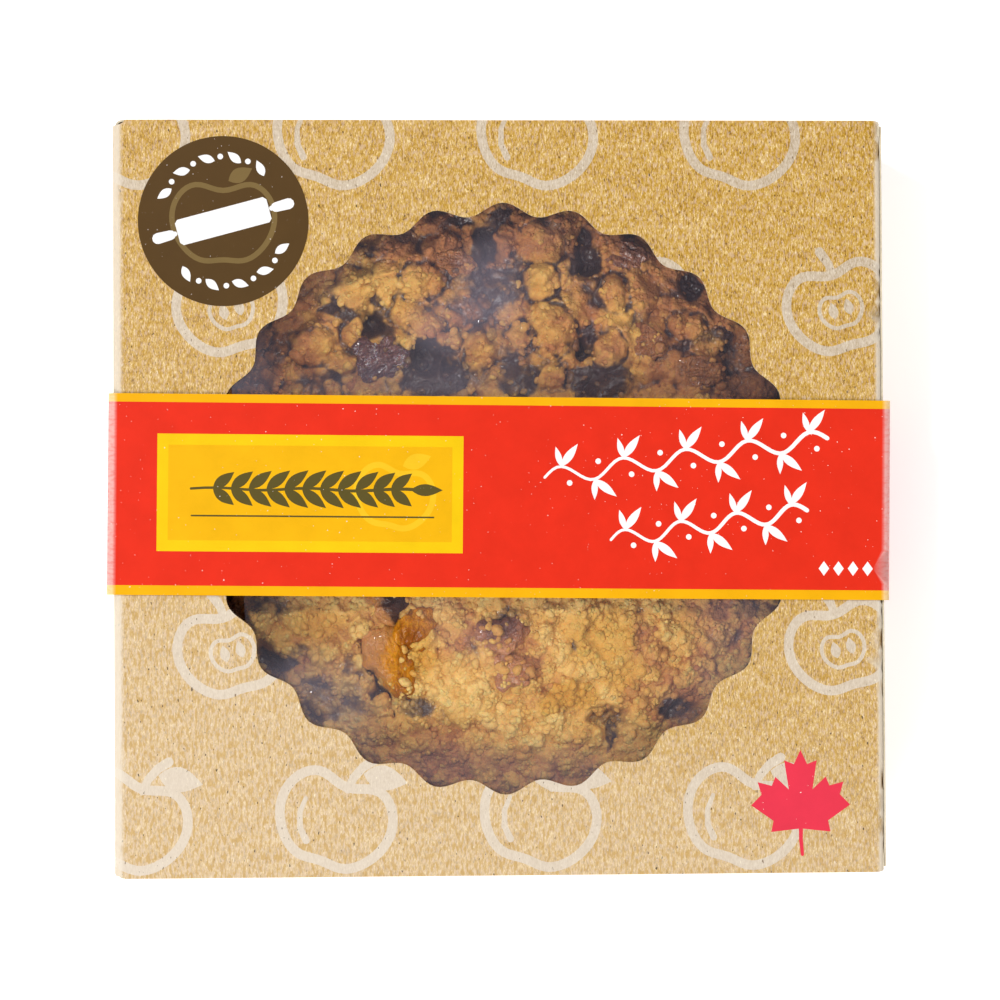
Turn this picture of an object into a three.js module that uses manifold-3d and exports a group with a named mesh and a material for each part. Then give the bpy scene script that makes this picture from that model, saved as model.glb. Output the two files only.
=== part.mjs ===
// A shut retail box with a crumble-topped apple pie in it. The box is a folded board carton with a
// scalloped window in its lid and a sheet of clear film behind the window. A printed paper sleeve
// goes round its middle and a round label sits on a corner. Inside, the pie stands in its foil tin.
//
// Millimetres, +Z up. The origin is under the middle of the sleeve, on the surface it stands on.
// +Y is the edge of the lid at the top of its print, +X its right edge.

import * as THREE from "three";
import { mergeVertices } from "three/addons/utils/BufferGeometryUtils.js";
import Module from "manifold-3d";

const wasm = await Module();
wasm.setup();

// Clearance between neighbouring pieces, and the distance within which two vertices are one
const GAP = 0.3;
const WELD = 1e-4;

// Sleeve: a paper loop round the carton, turned a little as it was slipped on
const SLEEVE_WIDTH = 234.6;
const SLEEVE_DEPTH = 60;
const SLEEVE_PAPER = 0.4;
const SLEEVE_FOLD = 2.2;
const SLEEVE_TURN = THREE.MathUtils.degToRad(-0.7);

// Carton: board folded into a shallow box, with soft folds at the left and right of the lid
const CARTON_WIDTH = 231;
const CARTON_DEPTH = 226;
const CARTON_HEIGHT = 64;
const BOARD = 0.6;
const LEFT_FOLD = 2.6;
const RIGHT_FOLD = 1.6;
const BASE_FOLD = 0.9;
const CORNER_RADIUS = 1.3;
const WORN_CORNER_RADIUS = 2.8;
const CARTON_BASE_Z = SLEEVE_PAPER + GAP;
const CARTON_TOP_Z = CARTON_BASE_Z + CARTON_HEIGHT;
const SLEEVE_HEIGHT = CARTON_TOP_Z + GAP + SLEEVE_PAPER;

// Window: a round opening whose edge runs in and out as a wave
const WINDOW_X = 1.05;
const WINDOW_Y = -0.3;
const WINDOW_RADIUS = 86.7;
const WINDOW_WAVE = 1.9;
const WINDOW_SCALLOPS = 26;
const STEPS_PER_SCALLOP = 6;

// Film: a plain sheet glued slightly askew behind the window
const FILM_WIDTH = 176;
const FILM_LENGTH = 192;
const FILM_THICKNESS = 0.2;
const FILM_X = 9.6;
const FILM_TURN = THREE.MathUtils.degToRad(3.15);

// Round label
const LABEL_DIAMETER = 50.8;
const LABEL_THICKNESS = 0.2;
const LABEL_X = -82.6;
const LABEL_Y = 82.7;
const LABEL_SIDES = 48;

// Foil tin: sloping wall, flat flange and a rolled edge
const TIN_BASE_RADIUS = 80;
const TIN_TOP_RADIUS = 99;
const TIN_RIM_RADIUS = 106;
const TIN_DEPTH = 30;
const TIN_FOIL = 0.35;
const TIN_ROLL = 1.1;
const TIN_SIDES = 48;
const TIN_BASE_Z = CARTON_BASE_Z + BOARD + GAP;
const TIN_RIM_Z = TIN_BASE_Z + TIN_DEPTH;

// Pastry shell: lines the tin and ends in a crimped edge
const PASTRY_THICKNESS = 4;
const PASTRY_INSET = 1.1;
const PASTRY_BASE_Z = TIN_BASE_Z + TIN_FOIL + GAP;
const PASTRY_EDGE_RADIUS = 103.5;
const PASTRY_EDGE_HEIGHT = 6;
const PASTRY_INNER_EDGE_RADIUS = 93.2;
const CRIMPS = 30;
const STEPS_PER_CRIMP = 3;
const CRIMP_OUT = 1.1;
const CRIMP_UP = 0.9;

// Filling: apple in syrup, domed to the middle
const FILLING_BASE_Z = PASTRY_BASE_Z + PASTRY_THICKNESS + GAP;
const FILLING_EDGE_Z = 33;
const FILLING_DOME = 5;
const FILLING_SIDES = 32;

// Crumble: a low dome over the filling, covered with clumps of crumbs
const CRUMBLE_RADIUS = 92.4;
const CRUMBLE_EDGE_Z = 37;
const CRUMBLE_DOME = 14;
const CRUMBLE_SIDES = 40;
const CRUMBLE_RINGS = 5;
const CRUMBLE_CELLS = 50;
const CLUMP_SEED = 7;
const CLUMP_JITTER = 1.5;
// Coarse clumps lie on the back of the pie, fine ones on the front
const COARSE_CLUMPS = { count: 230, smallest: 4.4, largest: 7.0, rise: 6.2 };
const FINE_CLUMPS = { count: 440, smallest: 3.4, largest: 5.2, rise: 3.8 };
const FINE_FROM_Y = -6;

// The largest clumps, each a place on the pie and its half sizes
const LARGE_CLUMPS = [
  { x: -26, y: 66, size: [9, 5.5, 7] },
  { x: -40, y: 62, size: [6, 5.5, 6.5] },
  { x: -6, y: 44, size: [4.8, 7, 7.5] },
  { x: 17, y: 50, size: [7, 7, 8] },
  { x: 15, y: 67, size: [8, 6.5, 6.5] },
  { x: 14, y: 80, size: [8.5, 5, 6] },
  { x: 59, y: 52, size: [5, 5, 6.5] },
  { x: 34, y: 43, size: [4.5, 5, 6.5] },
];

// Hollows between the clumps that reach down to the filling
const HOLLOWS = [
  { x: -2.5, y: 76, size: [4, 5.5] },
  { x: -21, y: 42, size: [6.5, 5] },
  { x: -38, y: 53, size: [4, 3] },
  { x: 27, y: 74, size: [4.2, 6] },
  { x: 58, y: 63, size: [4.5, 5] },
  { x: 27, y: 44, size: [3, 4.5] },
  { x: -68, y: -49, size: [6, 4] },
  { x: -36, y: -61, size: [2.4, 4] },
  { x: 33, y: -67, size: [4.5, 4.5] },
  { x: 56, y: -64, size: [5, 4] },
];

// Room round each piece of apple in the crumble
const APPLE_GAP = 0.5;

// Pieces of glazed apple that lie in the crumble: place, half sizes, turn about Z and tilt
const APPLE_PIECES = [
  { x: -35, y: 42.5, size: [7.2, 5.6, 4.2], turn: 15, tilt: 8 },
  { x: -32.5, y: -50.5, size: [10.8, 4.6, 3.6], turn: -62, tilt: 10 },
  { x: -25.5, y: -38.5, size: [5.2, 4.0, 3.6], turn: 70, tilt: 0 },
  { x: -33.5, y: -31.5, size: [4.6, 3.8, 3.4], turn: 20, tilt: -8 },
  { x: 1.6, y: -41.5, size: [5.6, 4.4, 3.6], turn: 35, tilt: 5 },
  { x: 4.5, y: -52.5, size: [5.4, 4.2, 3.4], turn: -20, tilt: 0 },
  { x: 46.8, y: 47.3, size: [5.2, 4.8, 4.0], turn: 0, tilt: 6 },
  { x: 41, y: 74, size: [6.2, 4.0, 3.4], turn: -25, tilt: 0 },
  { x: 62, y: 38, size: [7.4, 5.0, 3.6], turn: 12, tilt: -6 },
  { x: -12.5, y: 71.5, size: [5.6, 3.8, 3.4], turn: -8, tilt: 0 },
];

const BOARD_LOOK = { color: 0xddb97a, roughness: 0.75, metalness: 0 };
const FILM_LOOK = { color: 0xe8e8ee, roughness: 0.1, metalness: 0, transparent: true, opacity: 0.35 };
const SLEEVE_LOOK = { color: 0xf04030, roughness: 0.35, metalness: 0 };
const LABEL_LOOK = { color: 0x664a2e, roughness: 0.4, metalness: 0 };
const FOIL_LOOK = { color: 0xc4c6c8, roughness: 0.3, metalness: 1 };
const PASTRY_LOOK = { color: 0xcd9a58, roughness: 0.8, metalness: 0 };
const FILLING_LOOK = { color: 0x5a2f1c, roughness: 0.25, metalness: 0 };
const CRUMBLE_LOOK = { color: 0xc8965a, roughness: 0.85, metalness: 0 };
const APPLE_LOOK = { color: 0xb8662a, roughness: 0.25, metalness: 0 };

/** Joins a geometry's shared vertices and returns it as a solid that can be joined and cut. */
function solidFrom(geometry) {
  const bare = geometry.clone();
  bare.deleteAttribute("normal");
  bare.deleteAttribute("uv");
  const merged = mergeVertices(bare, WELD);
  const index = merged.index.array;
  const faces = [];
  for (let i = 0; i < index.length; i += 3) {
    const [a, b, c] = [index[i], index[i + 1], index[i + 2]];
    if (a !== b && b !== c && c !== a) faces.push(a, b, c);
  }
  return new wasm.Manifold(
    new wasm.Mesh({
      numProp: 3,
      vertProperties: Float32Array.from(merged.attributes.position.array),
      triVerts: Uint32Array.from(faces),
    }),
  );
}

/** Gives a solid's faces back as a geometry. */
function geometryFrom(solid) {
  const { vertProperties, triVerts } = solid.getMesh();
  const geometry = new THREE.BufferGeometry();
  geometry.setAttribute("position", new THREE.BufferAttribute(vertProperties, 3));
  geometry.setIndex(new THREE.BufferAttribute(triVerts, 1));
  geometry.computeVertexNormals();
  return geometry;
}

/** Makes a named mesh of a geometry and a look. */
function piece(name, geometry, look) {
  const mesh = new THREE.Mesh(geometry, new THREE.MeshStandardMaterial(look));
  mesh.name = name;
  return mesh;
}

/** A rectangle with rounded corners, given as [x, y] extremes and four corner radii from the lower
 * left one round to the upper left one. */
function roundedRectangle([x0, y0], [x1, y1], radii, Type = THREE.Shape) {
  const [lowerLeft, lowerRight, upperRight, upperLeft] = radii;
  const quarter = Math.PI / 2;
  const outline = new Type();
  outline.absarc(x0 + lowerLeft, y0 + lowerLeft, lowerLeft, 2 * quarter, 3 * quarter);
  outline.absarc(x1 - lowerRight, y0 + lowerRight, lowerRight, 3 * quarter, 4 * quarter);
  outline.absarc(x1 - upperRight, y1 - upperRight, upperRight, 0, quarter);
  outline.absarc(x0 + upperLeft, y1 - upperLeft, upperLeft, quarter, 2 * quarter);
  outline.closePath();
  return outline;
}

/** Extrudes a shape upwards from one height to another. */
function prismUp(shape, fromZ, toZ) {
  const geometry = new THREE.ExtrudeGeometry(shape, {
    depth: toZ - fromZ,
    bevelEnabled: false,
    curveSegments: 4,
  });
  return geometry.translate(0, 0, fromZ);
}

/** Extrudes a shape drawn in X and Z along Y, centred on Y = 0. */
function prismAlongY(shape, length) {
  const geometry = new THREE.ExtrudeGeometry(shape, {
    depth: length,
    bevelEnabled: false,
    curveSegments: 4,
  });
  return geometry.rotateX(Math.PI / 2).translate(0, length / 2, 0);
}

/** The block that the board wraps, drawn in by an inset on every side. */
function cartonBlock(inset) {
  const halfWidth = CARTON_WIDTH / 2 - inset;
  const halfDepth = CARTON_DEPTH / 2 - inset;
  const bottom = CARTON_BASE_Z + inset;
  const top = CARTON_TOP_Z - inset;
  const folds = [BASE_FOLD, BASE_FOLD, RIGHT_FOLD, LEFT_FOLD].map((r) => r - inset);
  const corners = [CORNER_RADIUS, CORNER_RADIUS, CORNER_RADIUS, WORN_CORNER_RADIUS];
  const side = roundedRectangle([-halfWidth, bottom], [halfWidth, top], folds);
  const plan = roundedRectangle(
    [-halfWidth, -halfDepth],
    [halfWidth, halfDepth],
    corners.map((r) => r - inset),
  );
  const lengthways = solidFrom(prismAlongY(side, 2 * halfDepth + 2));
  const upright = solidFrom(prismUp(plan, bottom - 1, top + 1));
  return lengthways.intersect(upright);
}

/** The scalloped outline of the window: a circle whose radius rises and falls as a wave. */
function windowShape() {
  const steps = WINDOW_SCALLOPS * STEPS_PER_SCALLOP;
  const points = [];
  for (let i = 0; i < steps; i += 1) {
    const angle = (2 * Math.PI * i) / steps;
    const crest = Math.cos(WINDOW_SCALLOPS * (angle - Math.PI / 2));
    const radius = WINDOW_RADIUS + WINDOW_WAVE * crest;
    const x = WINDOW_X + radius * Math.cos(angle);
    const y = WINDOW_Y + radius * Math.sin(angle);
    points.push(new THREE.Vector2(x, y));
  }
  return new THREE.Shape(points);
}

/** The folded board box with its window. */
function carton() {
  const opening = solidFrom(prismUp(windowShape(), CARTON_TOP_Z - BOARD - 1, CARTON_TOP_Z + 1));
  const shell = cartonBlock(0).subtract(cartonBlock(BOARD)).subtract(opening);
  return piece("carton", geometryFrom(shell), BOARD_LOOK);
}

/** The film behind the window. */
function windowFilm() {
  const mesh = piece(
    "window_film",
    new THREE.BoxGeometry(FILM_WIDTH, FILM_LENGTH, FILM_THICKNESS),
    FILM_LOOK,
  );
  mesh.position.set(FILM_X, 0, CARTON_TOP_Z - BOARD - GAP - FILM_THICKNESS / 2);
  mesh.rotation.z = FILM_TURN;
  return mesh;
}

/** The paper loop round the carton. */
function sleeve() {
  const half = SLEEVE_WIDTH / 2;
  const inner = SLEEVE_FOLD - SLEEVE_PAPER;
  const loop = roundedRectangle([-half, 0], [half, SLEEVE_HEIGHT], Array(4).fill(SLEEVE_FOLD));
  const room = roundedRectangle(
    [-half + SLEEVE_PAPER, SLEEVE_PAPER],
    [half - SLEEVE_PAPER, SLEEVE_HEIGHT - SLEEVE_PAPER],
    Array(4).fill(inner),
    THREE.Path,
  );
  loop.holes.push(room);
  const mesh = piece("sleeve", prismAlongY(loop, SLEEVE_DEPTH), SLEEVE_LOOK);
  mesh.rotation.z = SLEEVE_TURN;
  return mesh;
}

/** The round label on the lid. */
function roundLabel() {
  const radius = LABEL_DIAMETER / 2;
  const disc = new THREE.CylinderGeometry(radius, radius, LABEL_THICKNESS, LABEL_SIDES);
  const mesh = piece("round_label", disc.rotateX(Math.PI / 2), LABEL_LOOK);
  mesh.position.set(LABEL_X, LABEL_Y, CARTON_TOP_Z + GAP / 2 + LABEL_THICKNESS / 2);
  return mesh;
}

/** Turns a profile of [radius, z] pairs about the Z axis. */
function turned(profile, sides) {
  const points = profile.map(([radius, z]) => new THREE.Vector2(radius, z));
  return new THREE.LatheGeometry(points, sides).rotateX(Math.PI / 2);
}

/** The foil tin. */
function pieTin() {
  const rollMiddle = TIN_RIM_RADIUS - TIN_ROLL;
  const profile = [
    [0, TIN_BASE_Z],
    [TIN_BASE_RADIUS, TIN_BASE_Z],
    [TIN_TOP_RADIUS, TIN_RIM_Z - TIN_FOIL],
    [rollMiddle - TIN_ROLL, TIN_RIM_Z - TIN_FOIL],
    [rollMiddle, TIN_RIM_Z - TIN_ROLL],
    [TIN_RIM_RADIUS, TIN_RIM_Z - TIN_FOIL],
    [rollMiddle, TIN_RIM_Z + TIN_FOIL],
    [rollMiddle - TIN_ROLL, TIN_RIM_Z],
    [TIN_TOP_RADIUS, TIN_RIM_Z],
    [TIN_BASE_RADIUS - TIN_FOIL, TIN_BASE_Z + TIN_FOIL],
    [0, TIN_BASE_Z + TIN_FOIL],
  ];
  return piece("pie_tin", turned(profile, TIN_SIDES), FOIL_LOOK);
}

/** How far the tin's wall leans out for each millimetre up. */
const WALL_LEAN = (TIN_TOP_RADIUS - TIN_BASE_RADIUS) / TIN_DEPTH;

/** The tin's inner radius at a height, drawn in by an inset measured along the radius. */
function wallRadius(z, inset) {
  return TIN_BASE_RADIUS + (z - TIN_BASE_Z) * WALL_LEAN - inset;
}

/** The pastry shell with its crimped edge. */
function pastryShell() {
  const inner = PASTRY_INSET + PASTRY_THICKNESS;
  const floorZ = PASTRY_BASE_Z + PASTRY_THICKNESS;
  const underEdge = TIN_RIM_Z + TIN_FOIL + GAP;
  const top = underEdge + PASTRY_EDGE_HEIGHT;
  const profile = [
    [0, PASTRY_BASE_Z],
    [wallRadius(PASTRY_BASE_Z, PASTRY_INSET), PASTRY_BASE_Z],
    [wallRadius(TIN_RIM_Z, PASTRY_INSET), underEdge],
    [PASTRY_EDGE_RADIUS, underEdge],
    [PASTRY_EDGE_RADIUS, underEdge + PASTRY_EDGE_HEIGHT / 2],
    [(PASTRY_EDGE_RADIUS + PASTRY_INNER_EDGE_RADIUS) / 2, top],
    [PASTRY_INNER_EDGE_RADIUS, top - PASTRY_EDGE_HEIGHT / 3],
    [PASTRY_INNER_EDGE_RADIUS, TIN_RIM_Z],
    [wallRadius(floorZ, inner), floorZ],
    [0, floorZ],
  ];
  const geometry = turned(profile, CRIMPS * STEPS_PER_CRIMP);
  const position = geometry.attributes.position;
  for (let i = 0; i < position.count; i += 1) {
    const x = position.getX(i);
    const y = position.getY(i);
    const z = position.getZ(i);
    const radius = Math.hypot(x, y);
    if (radius < PASTRY_INNER_EDGE_RADIUS + 1 || z < underEdge + 1) continue;
    const crest = Math.cos(CRIMPS * Math.atan2(y, x));
    const wider = 1 + (CRIMP_OUT * crest) / radius;
    position.setXYZ(i, x * wider, y * wider, z + CRIMP_UP * crest);
  }
  return piece("pastry_shell", geometry, PASTRY_LOOK);
}

/** The height of the filling's top at a distance from the middle. */
function fillingTop(radius) {
  return FILLING_EDGE_Z + FILLING_DOME * (1 - (radius / CRUMBLE_RADIUS) ** 2);
}

/** The filling inside the pastry shell. */
function appleFilling() {
  const inset = PASTRY_INSET + PASTRY_THICKNESS + 2 * GAP;
  const edge = PASTRY_INNER_EDGE_RADIUS - 2 * GAP;
  const profile = [
    [0, FILLING_BASE_Z],
    [wallRadius(FILLING_BASE_Z, inset), FILLING_BASE_Z],
    [edge, TIN_RIM_Z],
    [edge, fillingTop(edge)],
  ];
  for (let ring = 3; ring >= 0; ring -= 1) {
    const radius = (edge * ring) / 4;
    profile.push([radius, fillingTop(radius)]);
  }
  return piece("apple_filling", turned(profile, FILLING_SIDES), FILLING_LOOK);
}

/** The height of the crumble's bare dome at a distance from the middle. */
function crumbleTop(radius) {
  return CRUMBLE_EDGE_Z + CRUMBLE_DOME * (1 - (radius / CRUMBLE_RADIUS) ** 2);
}

/** The room for the crumble: all that is above the filling and inside the pastry's edge. */
function aboveFilling() {
  const profile = [];
  for (let ring = 0; ring <= CRUMBLE_RINGS; ring += 1) {
    const radius = (CRUMBLE_RADIUS * ring) / CRUMBLE_RINGS;
    profile.push([radius, fillingTop(radius) + GAP]);
  }
  profile.push([CRUMBLE_RADIUS, CARTON_TOP_Z], [0, CARTON_TOP_Z]);
  return solidFrom(turned(profile, CRUMBLE_SIDES));
}

/** A repeatable stream of numbers from 0 to 1. */
function seededRandom(seed) {
  let state = seed;
  return () => {
    state = (state * 1664525 + 1013904223) % 4294967296;
    return state / 4294967296;
  };
}

/** Whether a place on the pie is inside any of a list of ovals, each grown by a margin. */
function isInside(x, y, ovals, margin) {
  return ovals.some(({ x: cx, y: cy, size: [a, b] }) => {
    return ((x - cx) / (a + margin)) ** 2 + ((y - cy) / (b + margin)) ** 2 < 1;
  });
}

/** Small clumps spread over the dome in a spiral, clear of the hollows and the apple pieces. */
function smallClumps({ count, smallest, largest, rise }, isWanted, random) {
  const clumps = [];
  const goldenAngle = Math.PI * (3 - Math.sqrt(5));
  for (let i = 0; i < count; i += 1) {
    const radius = CRUMBLE_RADIUS * Math.sqrt((i + 0.5) / count);
    const x = radius * Math.cos(i * goldenAngle) + CLUMP_JITTER * (2 * random() - 1);
    const y = radius * Math.sin(i * goldenAngle) + CLUMP_JITTER * (2 * random() - 1);
    const size = smallest + (largest - smallest) * random();
    const narrow = size * (0.75 + 0.25 * random());
    const height = rise * (0.35 + 0.65 * random());
    const blocked = isInside(x, y, HOLLOWS, 2) || isInside(x, y, APPLE_PIECES, 1);
    if (isWanted(y) && !blocked) clumps.push({ x, y, size: [size, narrow, height] });
  }
  return clumps;
}

/** The height of the crumble's top at a place: the tallest of the clumps that reach it. */
function reliefAt(x, y, clumps) {
  let top = crumbleTop(Math.hypot(x, y));
  for (const { x: cx, y: cy, size: [a, b, c] } of clumps) {
    const reach = ((x - cx) / a) ** 2 + ((y - cy) / b) ** 2;
    if (reach >= 1) continue;
    const height = crumbleTop(Math.hypot(cx, cy)) + c * Math.sqrt(1 - reach);
    top = Math.max(top, height);
  }
  return top;
}

/** A round block whose top is the crumble's uneven surface, on a square grid bent into a disc. */
function crumbleBlock(clumps) {
  const outer = CRUMBLE_RADIUS + 1;
  const geometry = new THREE.BoxGeometry(2, 2, 2, CRUMBLE_CELLS, CRUMBLE_CELLS, 1);
  const position = geometry.attributes.position;
  for (let i = 0; i < position.count; i += 1) {
    const u = position.getX(i);
    const v = position.getY(i);
    const x = outer * u * Math.sqrt(1 - (v * v) / 2);
    const y = outer * v * Math.sqrt(1 - (u * u) / 2);
    const z = position.getZ(i) > 0 ? reliefAt(x, y, clumps) : 0;
    position.setXYZ(i, x, y, z);
  }
  return solidFrom(geometry);
}

/** A shaft with uneven sides that opens a hollow down to the filling. */
function hollow({ x, y, size: [a, b] }, random) {
  const sides = 9;
  const points = [];
  for (let i = 0; i < sides; i += 1) {
    const angle = (2 * Math.PI * i) / sides;
    const swell = 0.75 + 0.5 * random();
    points.push(new THREE.Vector2(a * swell * Math.cos(angle), b * swell * Math.sin(angle)));
  }
  return solidFrom(prismUp(new THREE.Shape(points), 0, CARTON_TOP_Z).translate(x, y, 0));
}

/** A piece of apple: a rounded block, grown on all sides by a margin. */
function appleBlock({ x, y, size, turn, tilt }, margin) {
  const geometry = new THREE.SphereGeometry(1, 10, 6);
  const position = geometry.attributes.position;
  const [a, b, c] = size.map((half) => half + margin);
  const squared = (value) => Math.sign(value) * Math.abs(value) ** 0.75;
  for (let i = 0; i < position.count; i += 1) {
    const along = squared(position.getX(i));
    const taper = 1 - 0.22 * along;
    const across = -squared(position.getZ(i)) * taper;
    position.setXYZ(i, a * along, b * across, c * squared(position.getY(i)));
  }
  geometry.rotateY(THREE.MathUtils.degToRad(tilt));
  geometry.rotateZ(THREE.MathUtils.degToRad(turn));
  return geometry.translate(x, y, crumbleTop(Math.hypot(x, y)) + size[2] * 0.25);
}

/** The pieces of glazed apple in the crumble. */
function applePieces() {
  return APPLE_PIECES.map((spec, i) => {
    return piece(`apple_piece_${i + 1}`, appleBlock(spec, 0), APPLE_LOOK);
  });
}

/** The crumble with its clumps and hollows, cut back round the apple pieces and the pastry. */
function crumbleTopping() {
  const random = seededRandom(CLUMP_SEED);
  const clumps = [
    ...LARGE_CLUMPS,
    ...smallClumps(COARSE_CLUMPS, (y) => y >= FINE_FROM_Y, random),
    ...smallClumps(FINE_CLUMPS, (y) => y < FINE_FROM_Y, random),
  ];
  let crumble = crumbleBlock(clumps).intersect(aboveFilling());
  for (const spec of HOLLOWS) {
    crumble = crumble.subtract(hollow(spec, random));
  }
  for (const spec of APPLE_PIECES) {
    crumble = crumble.subtract(solidFrom(appleBlock(spec, APPLE_GAP)));
  }
  const loose = crumble.decompose().sort((one, other) => other.volume() - one.volume());
  return piece("crumble_topping", geometryFrom(loose[0]), CRUMBLE_LOOK);
}

const pack = new THREE.Group();
pack.add(carton(), windowFilm(), sleeve(), roundLabel());
pack.add(pieTin(), pastryShell(), appleFilling(), crumbleTopping(), ...applePieces());

export default pack;
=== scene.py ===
"""Dresses a shut bakery box with an apple crumble pie in it: printed board carton, film window, paper
sleeve, round label, foil tin, pastry, filling, crumble and glazed apple. Lengths are in millimetres
until a mesh is made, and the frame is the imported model's own.
"""

import logging
import math
from collections.abc import Callable, Iterable, Sequence
from dataclasses import dataclass, field
from enum import Enum

import bmesh
import bpy
import numpy as np
from mathutils import Matrix, Vector, noise
from mathutils.bvhtree import BVHTree
from mathutils.geometry import delaunay_2d_cdt

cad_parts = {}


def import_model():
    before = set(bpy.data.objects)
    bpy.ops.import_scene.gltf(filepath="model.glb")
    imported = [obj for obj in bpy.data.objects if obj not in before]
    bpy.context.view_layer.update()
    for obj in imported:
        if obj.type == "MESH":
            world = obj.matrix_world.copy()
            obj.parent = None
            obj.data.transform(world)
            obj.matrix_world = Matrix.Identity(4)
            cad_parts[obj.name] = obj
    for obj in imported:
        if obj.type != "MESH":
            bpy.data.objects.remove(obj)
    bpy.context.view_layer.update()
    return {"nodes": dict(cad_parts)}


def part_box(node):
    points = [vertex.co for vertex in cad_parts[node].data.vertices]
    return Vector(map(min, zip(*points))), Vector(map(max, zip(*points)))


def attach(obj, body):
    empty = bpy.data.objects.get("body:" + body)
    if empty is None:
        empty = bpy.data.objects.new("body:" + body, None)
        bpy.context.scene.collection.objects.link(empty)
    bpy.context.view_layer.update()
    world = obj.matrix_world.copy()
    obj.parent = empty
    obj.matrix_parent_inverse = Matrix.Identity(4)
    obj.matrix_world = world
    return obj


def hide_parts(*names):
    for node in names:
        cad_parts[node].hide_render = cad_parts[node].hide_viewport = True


LOG = logging.getLogger("boxed_pie")

MM = 0.001
BODY = "root"
# Points of printed outlines that are closer than this become one.
MERGE = 1e-4
# Where along Y the crumble goes over from its smooth front to its clumpy, browner back.
FRONT_TO_BACK = (-14.0, 12.0)

Point = tuple[float, float]
Place = tuple[float, float, float]
Colour = tuple[float, float, float]
Array = np.ndarray
Facing = tuple[Vector, Vector]
Placer = Callable[[float, float], Facing]
Ripple = Callable[[Array, Array, Array], tuple[Array, Array]]


def srgb(red: int, green: int, blue: int) -> Colour:
    """Turns a colour given in display values into the linear values that shaders use."""
    shares = (value / 255 for value in (red, green, blue))
    return tuple(part / 12.92 if part <= 0.04045 else ((part + 0.055) / 1.055) ** 2.4 for part in shares)


def rgba(colour: Colour) -> tuple[float, float, float, float]:
    """A colour with full opacity."""
    return (*colour, 1.0)


def smoothstep(low: float, high: float, value: Array | float) -> Array | float:
    """Rises smoothly from 0 at low to 1 at high."""
    part = np.clip((value - low) / (high - low), 0.0, 1.0)
    return part * part * (3 - 2 * part)


# Shader wiring


@dataclass(frozen=True)
class Value:
    """A shader's value or colour. Sums with it become maths nodes."""

    wiring: "Wiring"
    socket: bpy.types.NodeSocket

    def __add__(self, other: "Value | float") -> "Value":
        """This value with another added."""
        return self.wiring.math("ADD", self, other)

    def __radd__(self, other: float) -> "Value":
        """A number with this value added."""
        return self.wiring.math("ADD", other, self)

    def __sub__(self, other: "Value | float") -> "Value":
        """This value less another."""
        return self.wiring.math("SUBTRACT", self, other)

    def __rsub__(self, other: float) -> "Value":
        """A number less this value."""
        return self.wiring.math("SUBTRACT", other, self)

    def __mul__(self, other: "Value | float") -> "Value":
        """This value times another."""
        return self.wiring.math("MULTIPLY", self, other)

    def __abs__(self) -> "Value":
        """This value without its sign."""
        return self.wiring.math("ABSOLUTE", self, 0.0)


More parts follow.
